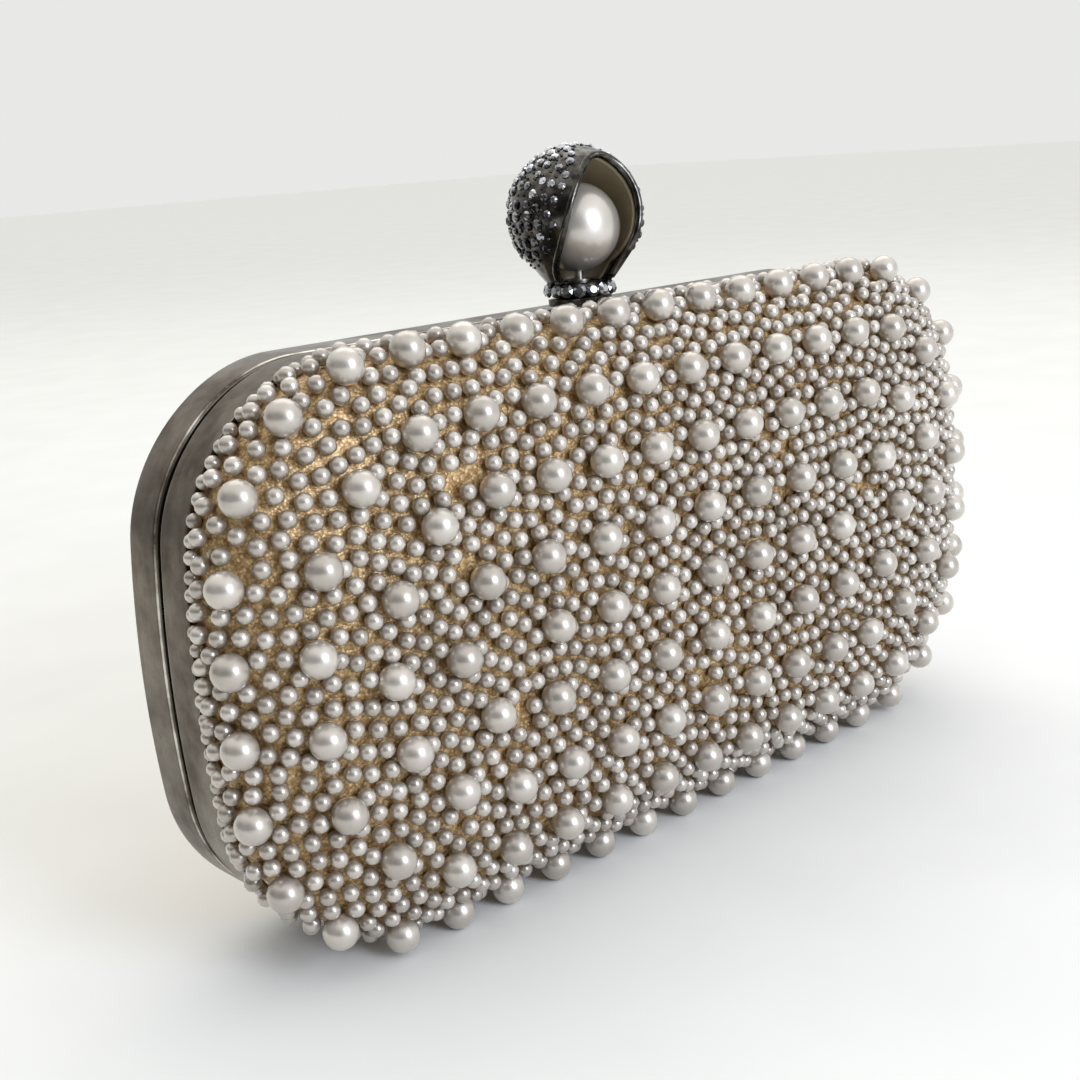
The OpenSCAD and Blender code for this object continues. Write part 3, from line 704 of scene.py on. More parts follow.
@material(Roughness=0.55, IOR=1.54)
def moulded_abs(tree, place, look):
    """Black ABS shell, moulded with a fine spark-eroded texture, about 0.3 mm."""
    spark = noise(tree, place, per(0.3), 2.0)
    return {
        "Base_Color": ramp(tree, spark, 0.3, linear("#171512"), 0.7, look.shell),
        "Normal": bump(tree, spark, 0.4, 0.00005),
    }


@material(Roughness=0.9)
def backdrop_paper(tree, place, look):
    """Uncoated white paper, slightly uneven over a few centimetres."""
    fibre = noise(tree, place, per(40), 2.0)
    return {"Base_Color": ramp(tree, fibre, 0.3, linear("#e5e5e2"), 0.7, look.floor)}


# ---- Pieces --------------------------------------------------------------------------


def notched(p, x_low, x_high, top):
    """Which loop places lie between two x values on the top or bottom edge."""
    x, z = outline(0.0, bpy.context.scene.bag_case.corner_r, p)
    return (x > x_low) & (x < x_high) & ((z > 0) == top) & (abs(z) > 0.98 * HALF_H)


def place_on_edge(x, top, inset=0.0):
    """The loop place p of a point at x on the straight top or bottom edge."""
    case = bpy.context.scene.bag_case
    bow = 1 - case.end_bow / HALF_W * ((HALF_H - inset) / HALF_H) ** 2
    share = x / (HALF_W - case.corner_r) / bow
    return share % 12 if top else 6 - share


def hinge_spans():
    """Both hinges' reach along X, from their leaves, with the clearance of the notches."""
    spans = []
    for side in ("left", "right"):
        low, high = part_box(f"{side}_hinge_back_leaf")
        spans.append((low.x - 0.0003, high.x + 0.0003))
    return spans


def band(name, front, stem_cut, body, replaces):
    """One frame band: a rounded section carried round the outline.

    Where a hinge or the catch's stem passes through the seam, the seam side of the section is drawn
    back, between two loop places that lie 0.02 mm apart."""
    case = bpy.context.scene.bag_case
    w, t, lip, groove = case.band_w, case.band_t, case.lip_t, case.groove
    section = rounded(
        [(0, case.seam_half), (0, w), (lip, w), (lip, w - groove), (t, w - groove), (t, case.seam_half)],
        [case.shoulder_r, 0.00022, 0.00015, 0.0002, 0.0003, 0.0002],
    )
    hinge_cut, stem_half = 0.0017, 0.0033
    cuts = [(x0, x1, False, hinge_cut) for x0, x1 in hinge_spans()]
    cuts.append((-stem_half, stem_half, True, stem_cut))
    p = around(24, 30, 14)
    hair = 0.00002
    edges = [place_on_edge(x + s * hair, top) for x0, x1, top, _ in cuts for x in (x0, x1) for s in (-1, 1)]
    p = np.unique(np.concatenate([p, edges]))
    seam = np.full(len(p), float(case.seam_half))
    for x0, x1, top, depth in cuts:
        seam[notched(p, x0, x1, top)] = depth
    hold = 0.00035
    flat = [(0, section[4, 1] + hold), (0, section[5, 1] - hold)]
    section = np.concatenate([section[:5], flat, section[5:]])
    # The middles of the seam shoulder and of the front outer edge: wear, and a painted highlight line.
    wear_and_highlight = np.zeros(len(section))
    wear_and_highlight[[2, 3, 9]] = 1
    inset, depth = section[:, 0], section[:, 1]
    near = depth < case.seam_half + 1.2 * case.shoulder_r
    rows = []
    for d, i, seam_side in zip(depth, inset, near):
        x, z = outline(i, case.corner_r - i, p)
        shift = (seam - case.seam_half) * seam_side
        rows.append(np.stack([x, SEAM_Y + front * (d + shift), MID_Z + z], axis=-1))
    rows.append(rows[0])
    points = np.array(rows)
    closed = np.append(points[0], points[0][:1], axis=0)
    along = np.concatenate([[0], np.cumsum(np.linalg.norm(np.diff(closed, axis=0), axis=-1))])
    ring = np.append(section, section[:1], axis=0)
    across = np.concatenate([[0], np.cumsum(np.linalg.norm(np.diff(ring, axis=0), axis=-1))])
    quads = grid_quads(len(rows), len(p), True)
    # The groove's faces take the near-black material: painted shade in the groove.
    inner = (ring[:-1, 0] > 0.8 * lip) & (ring[:-1, 1] > w - 1.02 * groove)
    parts = np.repeat(inner.astype(int), len(p))
    return new_piece(name, points.reshape(-1, 3), quads, [aged_nickel_plate(), painted_shade_groove()], body,
                     replaces, uvs=grid_uvs(along, across), parts=parts,
                     tone=np.repeat(np.append(wear_and_highlight, wear_and_highlight[0]), len(p)))


def tongue():
    """The front frame's tongue: an angle section carried along the stretches between the hinges and the
    catch, with a flat face at each end."""
    case = bpy.context.scene.bag_case
    t, reach, seam = case.band_t, case.tongue_reach, case.seam_half + 0.0004
    outer, inner, step, foot = t - 0.0001, t + 0.0012, t + 0.0003, 0.0038
    section = rounded(
        [(outer, seam), (outer, foot), (inner, foot), (inner, -reach), (step, -reach), (step, seam)],
        [0.0001, 0.0001, 0.0002, 0.0003, 0.0003, 0.0001], 2,
    )
    (a0, a1), (b0, b1) = hinge_spans()
    gap, room = 0.0003, 0.0128
    stops = [
        (place_on_edge(room, True, t), place_on_edge(b1 + gap, False, t)),
        (place_on_edge(b0 - gap, False, t), place_on_edge(a1 + gap, False, t)),
        (place_on_edge(a0 - gap, False, t), 12 - place_on_edge(room, True, t)),
    ]
    all_points, quads, caps, start = [], [], [], 0
    for p0, p1 in stops:
        p = np.linspace(p0, p1, 90)
        rows = []
        for i, d in section:
            x, z = outline(i, case.corner_r - i, p)
            rows.append(np.stack([x, np.full_like(x, SEAM_Y - d), MID_Z + z], axis=-1))
        points = np.array(rows).transpose(1, 0, 2)
        n, m = points.shape[:2]
        all_points.append(points.reshape(-1, 3))
        quads.append(grid_quads(n, m, True) + start)
        caps.append(np.arange(m)[None] + start)
        caps.append(np.arange(m)[None, ::-1] + start + (n - 1) * m)
        start += n * m
    return new_piece("front_frame_tongue", np.concatenate(all_points), [np.concatenate(quads),
                     np.concatenate(caps)], aged_nickel_plate(), "front_half",
                     uvs=np.zeros((0, 2)))


def large_pearl_places():
    """Centres of the large pearls: four rings, evenly spaced by length, and the middle row. The lowest
    pearls of the first ring are a node of their own."""
    beads, dome = bpy.context.scene.bag_beads, front_dome()
    lift = beads.large_r + beads.bead_gap
    rings = []
    for count, angle in zip(beads.ring_counts, np.radians(beads.ring_angles)):
        p = along_ring(dome, angle, np.arange(count) / count)
        rings.append(dome.ring(angle, 0, p) + lift * dome.normal(angle, p))
    low = (rings[0][:, 2] < beads.large_r + 0.001) & (abs(rings[0][:, 0]) < 0.6 * HALF_W)
    x = (np.arange(beads.row_count) - (beads.row_count - 1) / 2) * beads.row_pitch
    row = dome.place(x, np.zeros_like(x), dome.crown + lift)
    named = {"base_pearls": rings[0][low], "ring_1_pearls": rings[0][~low]}
    named.update({f"ring_{k + 1}_pearls": rings[k] for k in (1, 2, 3)})
    named["row_pearls"] = row
    return named


def wall_inset_at(depth):
    """Inset of the front cloth between its rim and the start of the dome: a straight line."""
    case = bpy.context.scene.bag_case
    share = (depth - case.band_w) / (case.roll_depth - case.band_w)
    return case.rim_inset + (case.wall_inset - case.rim_inset) * share


def front_surface(s, p):
    """The front's cloth as a function of s and p: s runs from the frame over the wall to the crown. The
    angle nears 90 degrees with the power that makes the rings' widths shrink evenly."""
    case, dome, wall = bpy.context.scene.bag_case, front_dome(), 0.12
    left = np.clip((1 - s) / (1 - wall), 0.001, 1)
    angle = math.pi / 2 * (1 - left ** (1 / case.dome_power))
    depth = case.band_w + (case.roll_depth - case.band_w) * np.clip(s / wall, 0, 1)
    inset = wall_inset_at(depth)
    low = dome.place(*outline(inset, case.corner_r - inset, p), depth)
    return np.where(np.asarray(s > wall)[..., None], dome.ring(angle, 0, p), low)


def edge_pearl_places(rng):
    """Centres of the pearls along the frame: one row, spaced by length, that hugs the lip, each pearl a
    little off its place."""
    case, beads, dome = bpy.context.scene.bag_case, bpy.context.scene.bag_beads, front_dome()
    fine = np.linspace(0, 12, 4001)
    inset = wall_inset_at(beads.edge_depth)
    path = dome.wall(inset, beads.edge_depth, fine)
    run = np.concatenate([[0], np.cumsum(np.linalg.norm(np.diff(path, axis=0), axis=-1))])
    count = int(run[-1] / beads.edge_step)
    at = (np.arange(count) + rng.uniform(-0.07, 0.07, count)) * run[-1] / count
    p = np.interp(at, run, fine)
    out = beads.edge_r + beads.bead_gap
    x, z = outline(inset - out, case.corner_r - inset + out, p)
    return dome.place(x, z, beads.edge_depth + rng.uniform(0, 0.0004, count))


def small_pearl_places(rng, taken, reach):
    """Centres of the small pearls. Places are strewn over the cloth with the same chance for each patch
    of area. A share of them is picked, and in each round every pearl is pushed off its neighbours, by a
    force that falls evenly to nothing, and laid on the plane that touches the nearest place. The force
    reaches less far from round to round, so that wide gaps close first."""
    beads = bpy.context.scene.bag_beads
    strewn = 240000
    s, p = rng.uniform(0, 1, strewn), rng.uniform(0, 12, strewn)
    step = 0.002
    here = front_surface(s, p)
    cross = np.cross(front_surface(s, p + step) - here, front_surface(s + step, p) - here)
    patch = np.linalg.norm(cross, axis=-1) / step**2
    normal = unit(cross) * -np.sign(cross[:, 1:2])
    keep = (rng.uniform(0, np.quantile(patch, 0.99), len(patch)) < patch) & (here[:, 1] < SEAM_Y
                                                                           - beads.edge_depth)
    spots, normal = (here + normal * (beads.small_r + beads.bead_gap))[keep], normal[keep]
    near = np.full(len(spots), np.inf)
    for centre, least in zip(taken, reach):
        near = np.minimum(near, np.linalg.norm(spots - centre, axis=1) - least)
    free = 12 * patch.mean() * keep.mean() / np.mean(np.minimum(patch / np.quantile(patch, 0.99), 1))
    free *= np.mean(near > 0)
    spots, normal = spots[near > 0], normal[near > 0]
    tree = KDTree(len(spots))
    for i, spot in enumerate(spots):
        tree.insert(spot, i)
    tree.balance()
    count = int(free / (0.87 * beads.small_step**2))
    at = spots[rng.choice(len(spots), count, replace=False)]
    for near_by in beads.small_step * np.linspace(2.6, 1.3, beads.evenness):
        gap = distances(at, at) + np.eye(count)
        force = np.clip(1 - gap / near_by, 0, 1) / gap
        other = distances(at, taken)
        wall = np.clip(1 - (other - reach + beads.small_step) / near_by, 0, 1) / other
        push = at * force.sum(1)[:, None] - force @ at + at * wall.sum(1)[:, None] - wall @ taken
        at = at + 0.3 * beads.small_step * push
        nearest = np.array([tree.find(spot)[1] for spot in at])
        off = at - spots[nearest]
        off -= (off * normal[nearest]).sum(1)[:, None] * normal[nearest]
        at = spots[nearest] + off * (np.linalg.norm(off, axis=1) < 0.0006)[:, None]
    close = np.triu(distances(at, at) < 1.88 * beads.small_r, 1)
    return at[~close.any(0)]


def distances(a, b):
    """Distance from each point of a to each point of b."""
    square = (a * a).sum(1)[:, None] + (b * b).sum(1) - 2 * a @ b.T
    return np.sqrt(np.maximum(square, 1e-12))


def cage_radius(z, t):
    """Radius of the cage at a height above its centre, t inside its outer face: a ball above, and a
    straight cone that touches it below, down to the neck."""
    clasp = bpy.context.scene.bag_clasp
    neck = np.array([clasp.neck_r, clasp.neck_z - clasp.rise])
    touch = math.atan2(neck[1], neck[0]) + math.acos(clasp.cage_r / np.hypot(*neck))
    side = np.array([math.cos(touch), math.sin(touch)])
    down = unit(neck - clasp.cage_r * side)
    r = clasp.cage_r - t
    cone = r * side[0] + (z - r * side[1]) / down[1] * down[0]
    return np.where(z > r * side[1], np.sqrt(np.maximum(r * r - z * z, 0)), cone)


def egg_half_width(z, grow=0.0):
    """Half width of the opening at a height: two half ellipses, the lower one longer."""
    clasp = bpy.context.scene.bag_clasp
    tall = np.where(z > 0, clasp.open_up, clasp.open_down) + grow
    return (clasp.open_wide + grow) * np.sqrt(np.maximum(1 - (z / tall) ** 2, 0))


def opening_middle(z):
    """Where the opening's middle lies round the post: it turns evenly with height, so the egg leans."""
    clasp = bpy.context.scene.bag_clasp
    return 0.06 + clasp.lean * np.minimum(z, clasp.open_up)


def clasp_points(phi, z, radius):
    """Points round the clasp's post; phi is measured from the middle of the opening."""
    clasp = bpy.context.scene.bag_clasp
    turn = phi + clasp.turn
    phi, z, radius, turn = np.broadcast_arrays(phi, z, radius, turn)
    return np.stack([radius * np.sin(turn), SEAM_Y - radius * np.cos(turn),
                     TOP_Z + clasp.rise + z], axis=-1)


def cage_wall(name, t_out, t_in, grow, material, replaces):
    """A wall of the cage: rows of points from one edge of the opening round the back to the other, at
    rising heights, on the outer and the inner face, joined round their edges."""
    clasp = bpy.context.scene.bag_clasp
    top = clasp.open_up + grow
    bottom = clasp.neck_z - clasp.rise
    low = np.concatenate([np.linspace(bottom, 0, 22)[:-1], top * np.sin(np.linspace(0, math.pi / 2, 20))])
    cols = 84

    def face(t):
        r = clasp.cage_r - t
        lat = np.linspace(math.asin(min(top / r, 0.999)), math.pi / 2, 9)[1:]
        z = np.concatenate([low, r * np.sin(lat)])
        radius = cage_radius(z, t)
        radius[-1] = 0.0
        edge = np.arcsin(np.clip(egg_half_width(z, grow) / np.maximum(radius, 1e-9), 0, 1))
        edge[len(low) - 1:] = 0.0
        share = np.linspace(0, 1, cols)[None]
        phi = edge[:, None] + share * (2 * math.pi - 2 * edge[:, None])
        return clasp_points(phi + opening_middle(z)[:, None], z[:, None], radius[:, None])

    outer, inner = face(t_out), face(t_in)
    rows = outer.shape[0]
    count = rows * cols
    points = np.concatenate([outer.reshape(-1, 3), inner.reshape(-1, 3)])
    quads = [grid_quads(rows, cols), grid_quads(rows, cols)[:, ::-1] + count]
    i = np.arange(len(low) - 1) * cols
    for edge in (0, cols - 1):
        quads.append(np.stack([i + edge, i + cols + edge, i + cols + edge + count, i + edge + count], -1))
    j = np.arange(cols - 1)
    quads.append(np.stack([j, j + 1, j + 1 + count, j + count], axis=-1))
    return new_piece(name, points, np.concatenate(quads), material, "latch", replaces)


def tube(path, out, radius, sides=12):
    """A round rod along a path. At each point the ring is drawn with the direction out, made square to
    the path, and the direction square to both; the ends are flat."""
    along = unit(np.gradient(path, axis=0))
    first = unit(out - (out * along).sum(-1, keepdims=True) * along)
    second = np.cross(along, first)
    turn = np.linspace(0, 2 * math.pi, sides, endpoint=False)[None, :, None]
    points = path[:, None] + radius * (np.cos(turn) * first[:, None] + np.sin(turn) * second[:, None])
    n = len(path)
    caps = np.stack([np.arange(sides)[::-1], np.arange(sides) + (n - 1) * sides])
    return points.reshape(-1, 3), [grid_quads(n, sides, True), caps]


def stone():
    """One flat-backed brilliant of unit radius: an eight-sided table, a girdle turned by half a step,
    sixteen triangles between them, a short wall and a flat back."""
    turn = np.arange(8) * math.pi / 4

    def ring(radius, shift, z):
        return np.stack([radius * np.cos(turn + shift), radius * np.sin(turn + shift), 0 * turn + z], -1)

    points = np.concatenate([ring(0.52, 0, 0.55), ring(1, math.pi / 8, 0.16), ring(1, math.pi / 8, -0.1)])
    i = np.arange(8)
    k = (i + 1) % 8
    tris = np.concatenate([np.stack([i, 8 + i, k], -1), np.stack([k, 8 + i, 8 + k], -1)])
    walls = np.stack([8 + i, 16 + i, 16 + k, 8 + k], -1)
    ends = np.stack([i, 16 + i[::-1]])
    return points, tris, walls, ends


def stones(name, centres, normals, radii, tone_and_top_light, body, replaces, rng):
    """Many stones as one piece, each facing along its normal with its own size, turn and lightness: random,
    and on the cage also painted light from above.
    """
    shape, tris, walls, ends = stone()
    side = unit(np.cross(normals, np.array([0.31, 0.2, 0.93])))
    other = np.cross(normals, side)
    spin = rng.uniform(0, math.pi / 4, len(centres))[:, None]
    e1 = np.cos(spin) * side + np.sin(spin) * other
    axes = np.stack([e1, np.cross(normals, e1), normals], axis=1)
    placed = centres[:, None] + radii[:, None, None] * (shape[None] @ axes)
    faces = [tiled(shape, f, placed)[1] for f in (tris, walls, ends)]
    return new_piece(name, placed.reshape(-1, 3), faces, foiled_crystal(), body, replaces,
                     smooth=False, tone=np.repeat(tone_and_top_light, len(shape)), welded=False)


def cage_stone_places(rng, step, low_lat, high_lat):
    """Places strewn over the cage's ball, clear of the opening, and thinned until none is nearer than
    the step: each place in turn is kept if no kept one is close. Gives their angle and latitude."""
    clasp = bpy.context.scene.bag_clasp
    strewn = 9000
    phi = rng.uniform(0, 2 * math.pi, strewn)
    low, high = math.sin(math.radians(low_lat)), math.sin(math.radians(high_lat))
    lat = np.arcsin(rng.uniform(low, high, strewn))
    z = clasp.cage_r * np.sin(lat)
    off = phi - opening_middle(z)
    x = clasp.cage_r * np.cos(lat) * np.sin(off)
    edge = 0.0017
    clear = (np.cos(off) < 0) | (abs(x) > egg_half_width(z, edge)) | (z > clasp.open_up + edge)
    phi, lat = phi[clear], lat[clear]
    spots = on_ball(phi, lat, clasp.cage_r)
    kept = []
    open_left = np.ones(len(spots), bool)
    while open_left.any():
        i = int(np.argmax(open_left))
        kept.append(i)
        open_left &= np.linalg.norm(spots - spots[i], axis=1) > step
    return phi[kept], lat[kept]


def on_ball(phi, lat, radius):
    """Points on a ball about the clasp's centre."""
    return clasp_points(phi, radius * np.sin(lat), radius * np.cos(lat))


def revolve(profile, steps):
    """A profile of (radius, height above the frame) turned about the post."""
    turn = np.linspace(0, 2 * math.pi, steps, endpoint=False)
    r, z = np.array(profile).T
    points = np.stack([r[:, None] * np.cos(turn), SEAM_Y + r[:, None] * np.sin(turn),
                       TOP_Z + z[:, None] + 0 * turn], axis=-1)
    return points.reshape(-1, 3), grid_quads(len(r), steps, True)


# ---- Operators -----------------------------------------------------------------------


class BAG_OT_studio(bpy.types.Operator):
    """Lay the pale floor, set the lights and place the camera"""

    bl_idname = "evening_bag.studio"
    bl_label = "Studio"

    def execute(self, context):
        scene, studio = context.scene, context.scene.bag_studio
        scene.view_settings.view_transform = "Standard"
        centre = Vector((0, SEAM_Y, MID_Z))
        self.floor(scene)
        self.world(scene, studio)
        back = self.direction(studio.azimuth, studio.elevation)
        for name, azimuth, elevation, distance, size, power, colour in (
            ("window", math.radians(4), math.radians(20), 1.1, (0.42, 0.6), studio.window, "#e3ecff"),
            ("overhead", math.radians(140), math.radians(56), 1.1, (1.1, 0.8), studio.overhead, "#fffaf2"),
            ("fill", math.radians(-95), math.radians(25), 1.2, (0.8, 0.8), studio.fill, "#f6f1ea"),
        ):
            self.lamp(scene, name, centre, self.direction(azimuth, elevation), distance, size, power,
                      colour)
        lens = bpy.data.cameras.new("camera")
        lens.lens = studio.lens
        lens.clip_start = 0.01
        camera = bpy.data.objects.new("camera", lens)
        scene.collection.objects.link(camera)
        scene.camera = camera
        look = centre + Vector((studio.look_x, studio.look_y, studio.look_z))
        level = Vector((0, 0, 1)).cross(back).normalized()
        right = Matrix.Rotation(-studio.roll, 3, back) @ level
        up = back.cross(right)
        axes = Matrix((right, up, back)).transposed()
        camera.matrix_world = Matrix.Translation(look + back * studio.distance) @ axes.to_4x4()
        return {"FINISHED"}

    def direction(self, azimuth, elevation):
        """Unit vector from the bag to something at that azimuth and elevation."""
        flat = math.cos(elevation)
        return Vector((math.sin(azimuth) * flat, -math.cos(azimuth) * flat, math.sin(elevation)))

    def lamp(self, scene, name, centre, towards, distance, size, power, code):
        """A rectangular area light that faces the bag."""
        lamp = bpy.data.lights.new(name, "AREA")
        lamp.shape, lamp.size, lamp.size_y = "RECTANGLE", *size
        lamp.energy, lamp.color = power, linear(code)
        holder = bpy.data.objects.new(name, lamp)
        holder.visible_camera = False
        holder.location = centre + towards * distance
        holder.rotation_mode = "QUATERNION"
        holder.rotation_quaternion = towards.to_track_quat("Z", "Y")
        scene.collection.objects.link(holder)

    def floor(self, scene):
        """A pale sheet of paper: a flat square grid."""
        t = np.linspace(-6, 6, 13)
        x, y = np.meshgrid(t, t, indexing="xy")
        points = np.stack([x, y, 0 * x], axis=-1).reshape(-1, 3)
        mesh = bpy.data.meshes.new("floor")
        mesh.from_pydata(points.tolist(), [], grid_quads(13, 13).tolist())
        mesh.materials.append(backdrop_paper())
        floor = bpy.data.objects.new("floor", mesh)
        scene.collection.objects.link(floor)

    def world(self, scene, studio):
        """A pale room with a bright ceiling, dim low down on the side that the bag's front faces. What is
        seen past the floor is plain backdrop all round."""
        world = bpy.data.worlds.new("studio")
        world.use_nodes = True
        scene.world = world
        tree = world.node_tree
        dim_side = self.direction(studio.azimuth - math.radians(30), math.radians(-35))
        place = node(tree, "ShaderNodeTexCoord").outputs["Generated"]
        facing = node(tree, "ShaderNodeVectorMath", {0: place, 1: dim_side}, operation="DOT_PRODUCT")
        height = node(tree, "ShaderNodeSeparateXYZ", {"Vector": place})
        upper = remap(tree, height.outputs["Z"], 0.35, 0.7, studio.backdrop, studio.ceiling,
                      interpolation_type="SMOOTHSTEP")
        strength = remap(tree, facing.outputs["Value"], -0.15, 0.45, upper, studio.ambient,
                         interpolation_type="SMOOTHSTEP")
        seen = node(tree, "ShaderNodeLightPath").outputs["Is Camera Ray"]
        shown = node(tree, "ShaderNodeMix", {0: seen, 2: strength, 3: studio.backdrop})
        paper = next(n for n in tree.nodes if n.type == "BACKGROUND")
        paper.inputs["Color"].default_value = rgba(linear("#fbfbf9"))
        tree.links.new(shown.outputs[0], paper.inputs["Strength"])


class BAG_OT_frames(bpy.types.Operator):
    """Make the two nickel frame bands and the front one's tongue"""

    bl_idname = "evening_bag.frames"
    bl_label = "Frames"

    def execute(self, context):
        band("front_frame_band", -1, 0.0012, "front_half", ["front_frame"])
        band("back_frame_band", 1, 0.002, "back_half", ["back_frame"])
        tongue()
        return {"FINISHED"}


class BAG_OT_covers(bpy.types.Operator):
    """Stretch the glitter cloth over both shells"""

    bl_idname = "evening_bag.covers"
    bl_label = "Glitter cloth"

    def execute(self, context):
        case = context.scene.bag_case
        for name, dome, body, shell, flat, area in (
            ("front_cover_cloth", front_dome(), "front_half", "front_shell", (0.236, 0.14), 0.0285),
            ("back_cover_cloth", back_dome(), "back_half", "back_shell", (0.21, 0.115), 0.0215),
        ):
            rim = case.band_w - 0.8 * case.groove
            piece = skin(name, dome, 0, case.cloth_t, [(case.rim_inset, rim)],
                         [(case.rim_inset + case.cloth_t, rim)], 0, glitter_cloth(), body,
                         [name.split("_")[0] + "_fabric"])
        return {"FINISHED"}


class BAG_OT_trays(bpy.types.Operator):
    """Make the satin covered trays inside both halves"""

    bl_idname = "evening_bag.trays"
    bl_label = "Satin trays"

    def execute(self, context):
        case = context.scene.bag_case
        gap = 0.0001
        t_out = case.cloth_t + case.shell_t + 2 * gap
        rim, rim_depth = case.band_t + case.shell_t + 0.0006, 0.0056
        for name, dome, body in (
            ("front_tray", front_dome(), "front_half"),
            ("back_tray", back_dome(), "back_half"),
        ):
            skin(name, dome, t_out, t_out + case.tray_t, [(rim, rim_depth)],
                 [(rim + case.tray_t, rim_depth)], 18, lining_satin(), body,
                 [name.split("_")[0] + "_lining"])
        return {"FINISHED"}


class BAG_OT_large_pearls(bpy.types.Operator):
    """Set the large pearls on the front"""

    bl_idname = "evening_bag.large_pearls"
    bl_label = "Large pearls"

    def execute(self, context):
        beads, rng = context.scene.bag_beads, np.random.default_rng(SEED)
        for name, centres in large_pearl_places().items():
            points, quads, each = balls(centres, np.full(len(centres), beads.large_r), 5)
            tone = np.repeat(rng.uniform(0.35, 1.0, len(centres)), each)
            new_piece("large_" + name, points, quads, pearl_lacquer("pearl_lacquer_large", 5.0),
                      "front_half", [name], tone=tone, welded=False)
        return {"FINISHED"}


class BAG_OT_small_pearls(bpy.types.Operator):
    """Fill the front between the large pearls with small ones"""

    bl_idname = "evening_bag.small_pearls"
    bl_label = "Small pearls"

    def execute(self, context):
        beads, rng = context.scene.bag_beads, np.random.default_rng(SEED + 1)
        large = np.concatenate(list(large_pearl_places().values()))
        edge = edge_pearl_places(rng)
        taken = np.concatenate([large, edge])
        # A small pearl touches the cloth, so beside a large one their centres are further apart
        reach = np.concatenate([
            np.full(len(large), beads.large_r + beads.small_r + 0.00005),
            np.full(len(edge), beads.edge_r + beads.small_r + 0.00005),
        ])
        field = small_pearl_places(rng, taken, reach)
        for name, centres, radius, spread in (
            ("front_edge_pearls", edge, beads.edge_r, 0.02),
            ("front_small_pearls", field, beads.small_r, 0.03),
        ):
            radii = radius * (1 + rng.uniform(-spread, spread, len(centres)))
            points, quads, each = balls(centres, radii, 3)
            tone = np.repeat(rng.uniform(0.0, 1.0, len(centres)), each)
            new_piece(name, points, quads, pearl_lacquer("pearl_lacquer_small", 3.0), "front_half",
                      tone=tone, welded=False)
        return {"FINISHED"}


class BAG_OT_cage(bpy.types.Operator):
    """Make the hollow clasp, its rim, its enamel and the pearl inside"""

    bl_idname = "evening_bag.cage"
    bl_label = "Clasp cage"

    def execute(self, context):
        clasp = context.scene.bag_clasp
        gap = 0.00005
        cage_wall("clasp_cage_casting", 0, clasp.wall, 0, gunmetal_plate(), ["clasp_cage"])
        cage_wall("clasp_enamel_lining", clasp.wall + gap, clasp.wall + gap + clasp.enamel, 0.0003,
                  cream_enamel(), ["cage_enamel"])
        self.rim(clasp)
        pearl = np.array([[0, SEAM_Y, TOP_Z + clasp.rise - clasp.pearl_drop]])
        points, quads, each = balls(pearl, [clasp.pearl_r], 24)
        new_piece("clasp_large_pearl", points, quads, pearl_lacquer("pearl_lacquer_clasp", 9.0), "latch",
                  ["clasp_pearl"], tone=np.full(each, 0.95), welded=False)
        return {"FINISHED"}

    def rim(self, clasp):
        """The polished rim: a rod along the opening's edge, up one side, over the top and down."""
        bottom = clasp.neck_z - clasp.rise + clasp.rim_r
        z = np.concatenate([np.linspace(bottom, 0, 24)[:-1],
                            clasp.open_up * np.sin(np.linspace(0, math.pi / 2, 40))])
        radius = cage_radius(z, 0.4 * clasp.wall)
        phi = np.arcsin(np.clip(egg_half_width(z) / radius, 0, 1))
        phi = np.concatenate([-phi, phi[-2::-1]])
        z = np.concatenate([z, z[-2::-1]])
        radius = np.concatenate([radius, radius[-2::-1]])
        phi = phi + opening_middle(z)
        path = clasp_points(phi, z, radius)
        out = unit(clasp_points(phi, z, radius + 0.001) - path)
        points, faces = tube(path, out, clasp.rim_r)
        new_piece("clasp_opening_rim", points, faces, gunmetal_plate(), "latch")


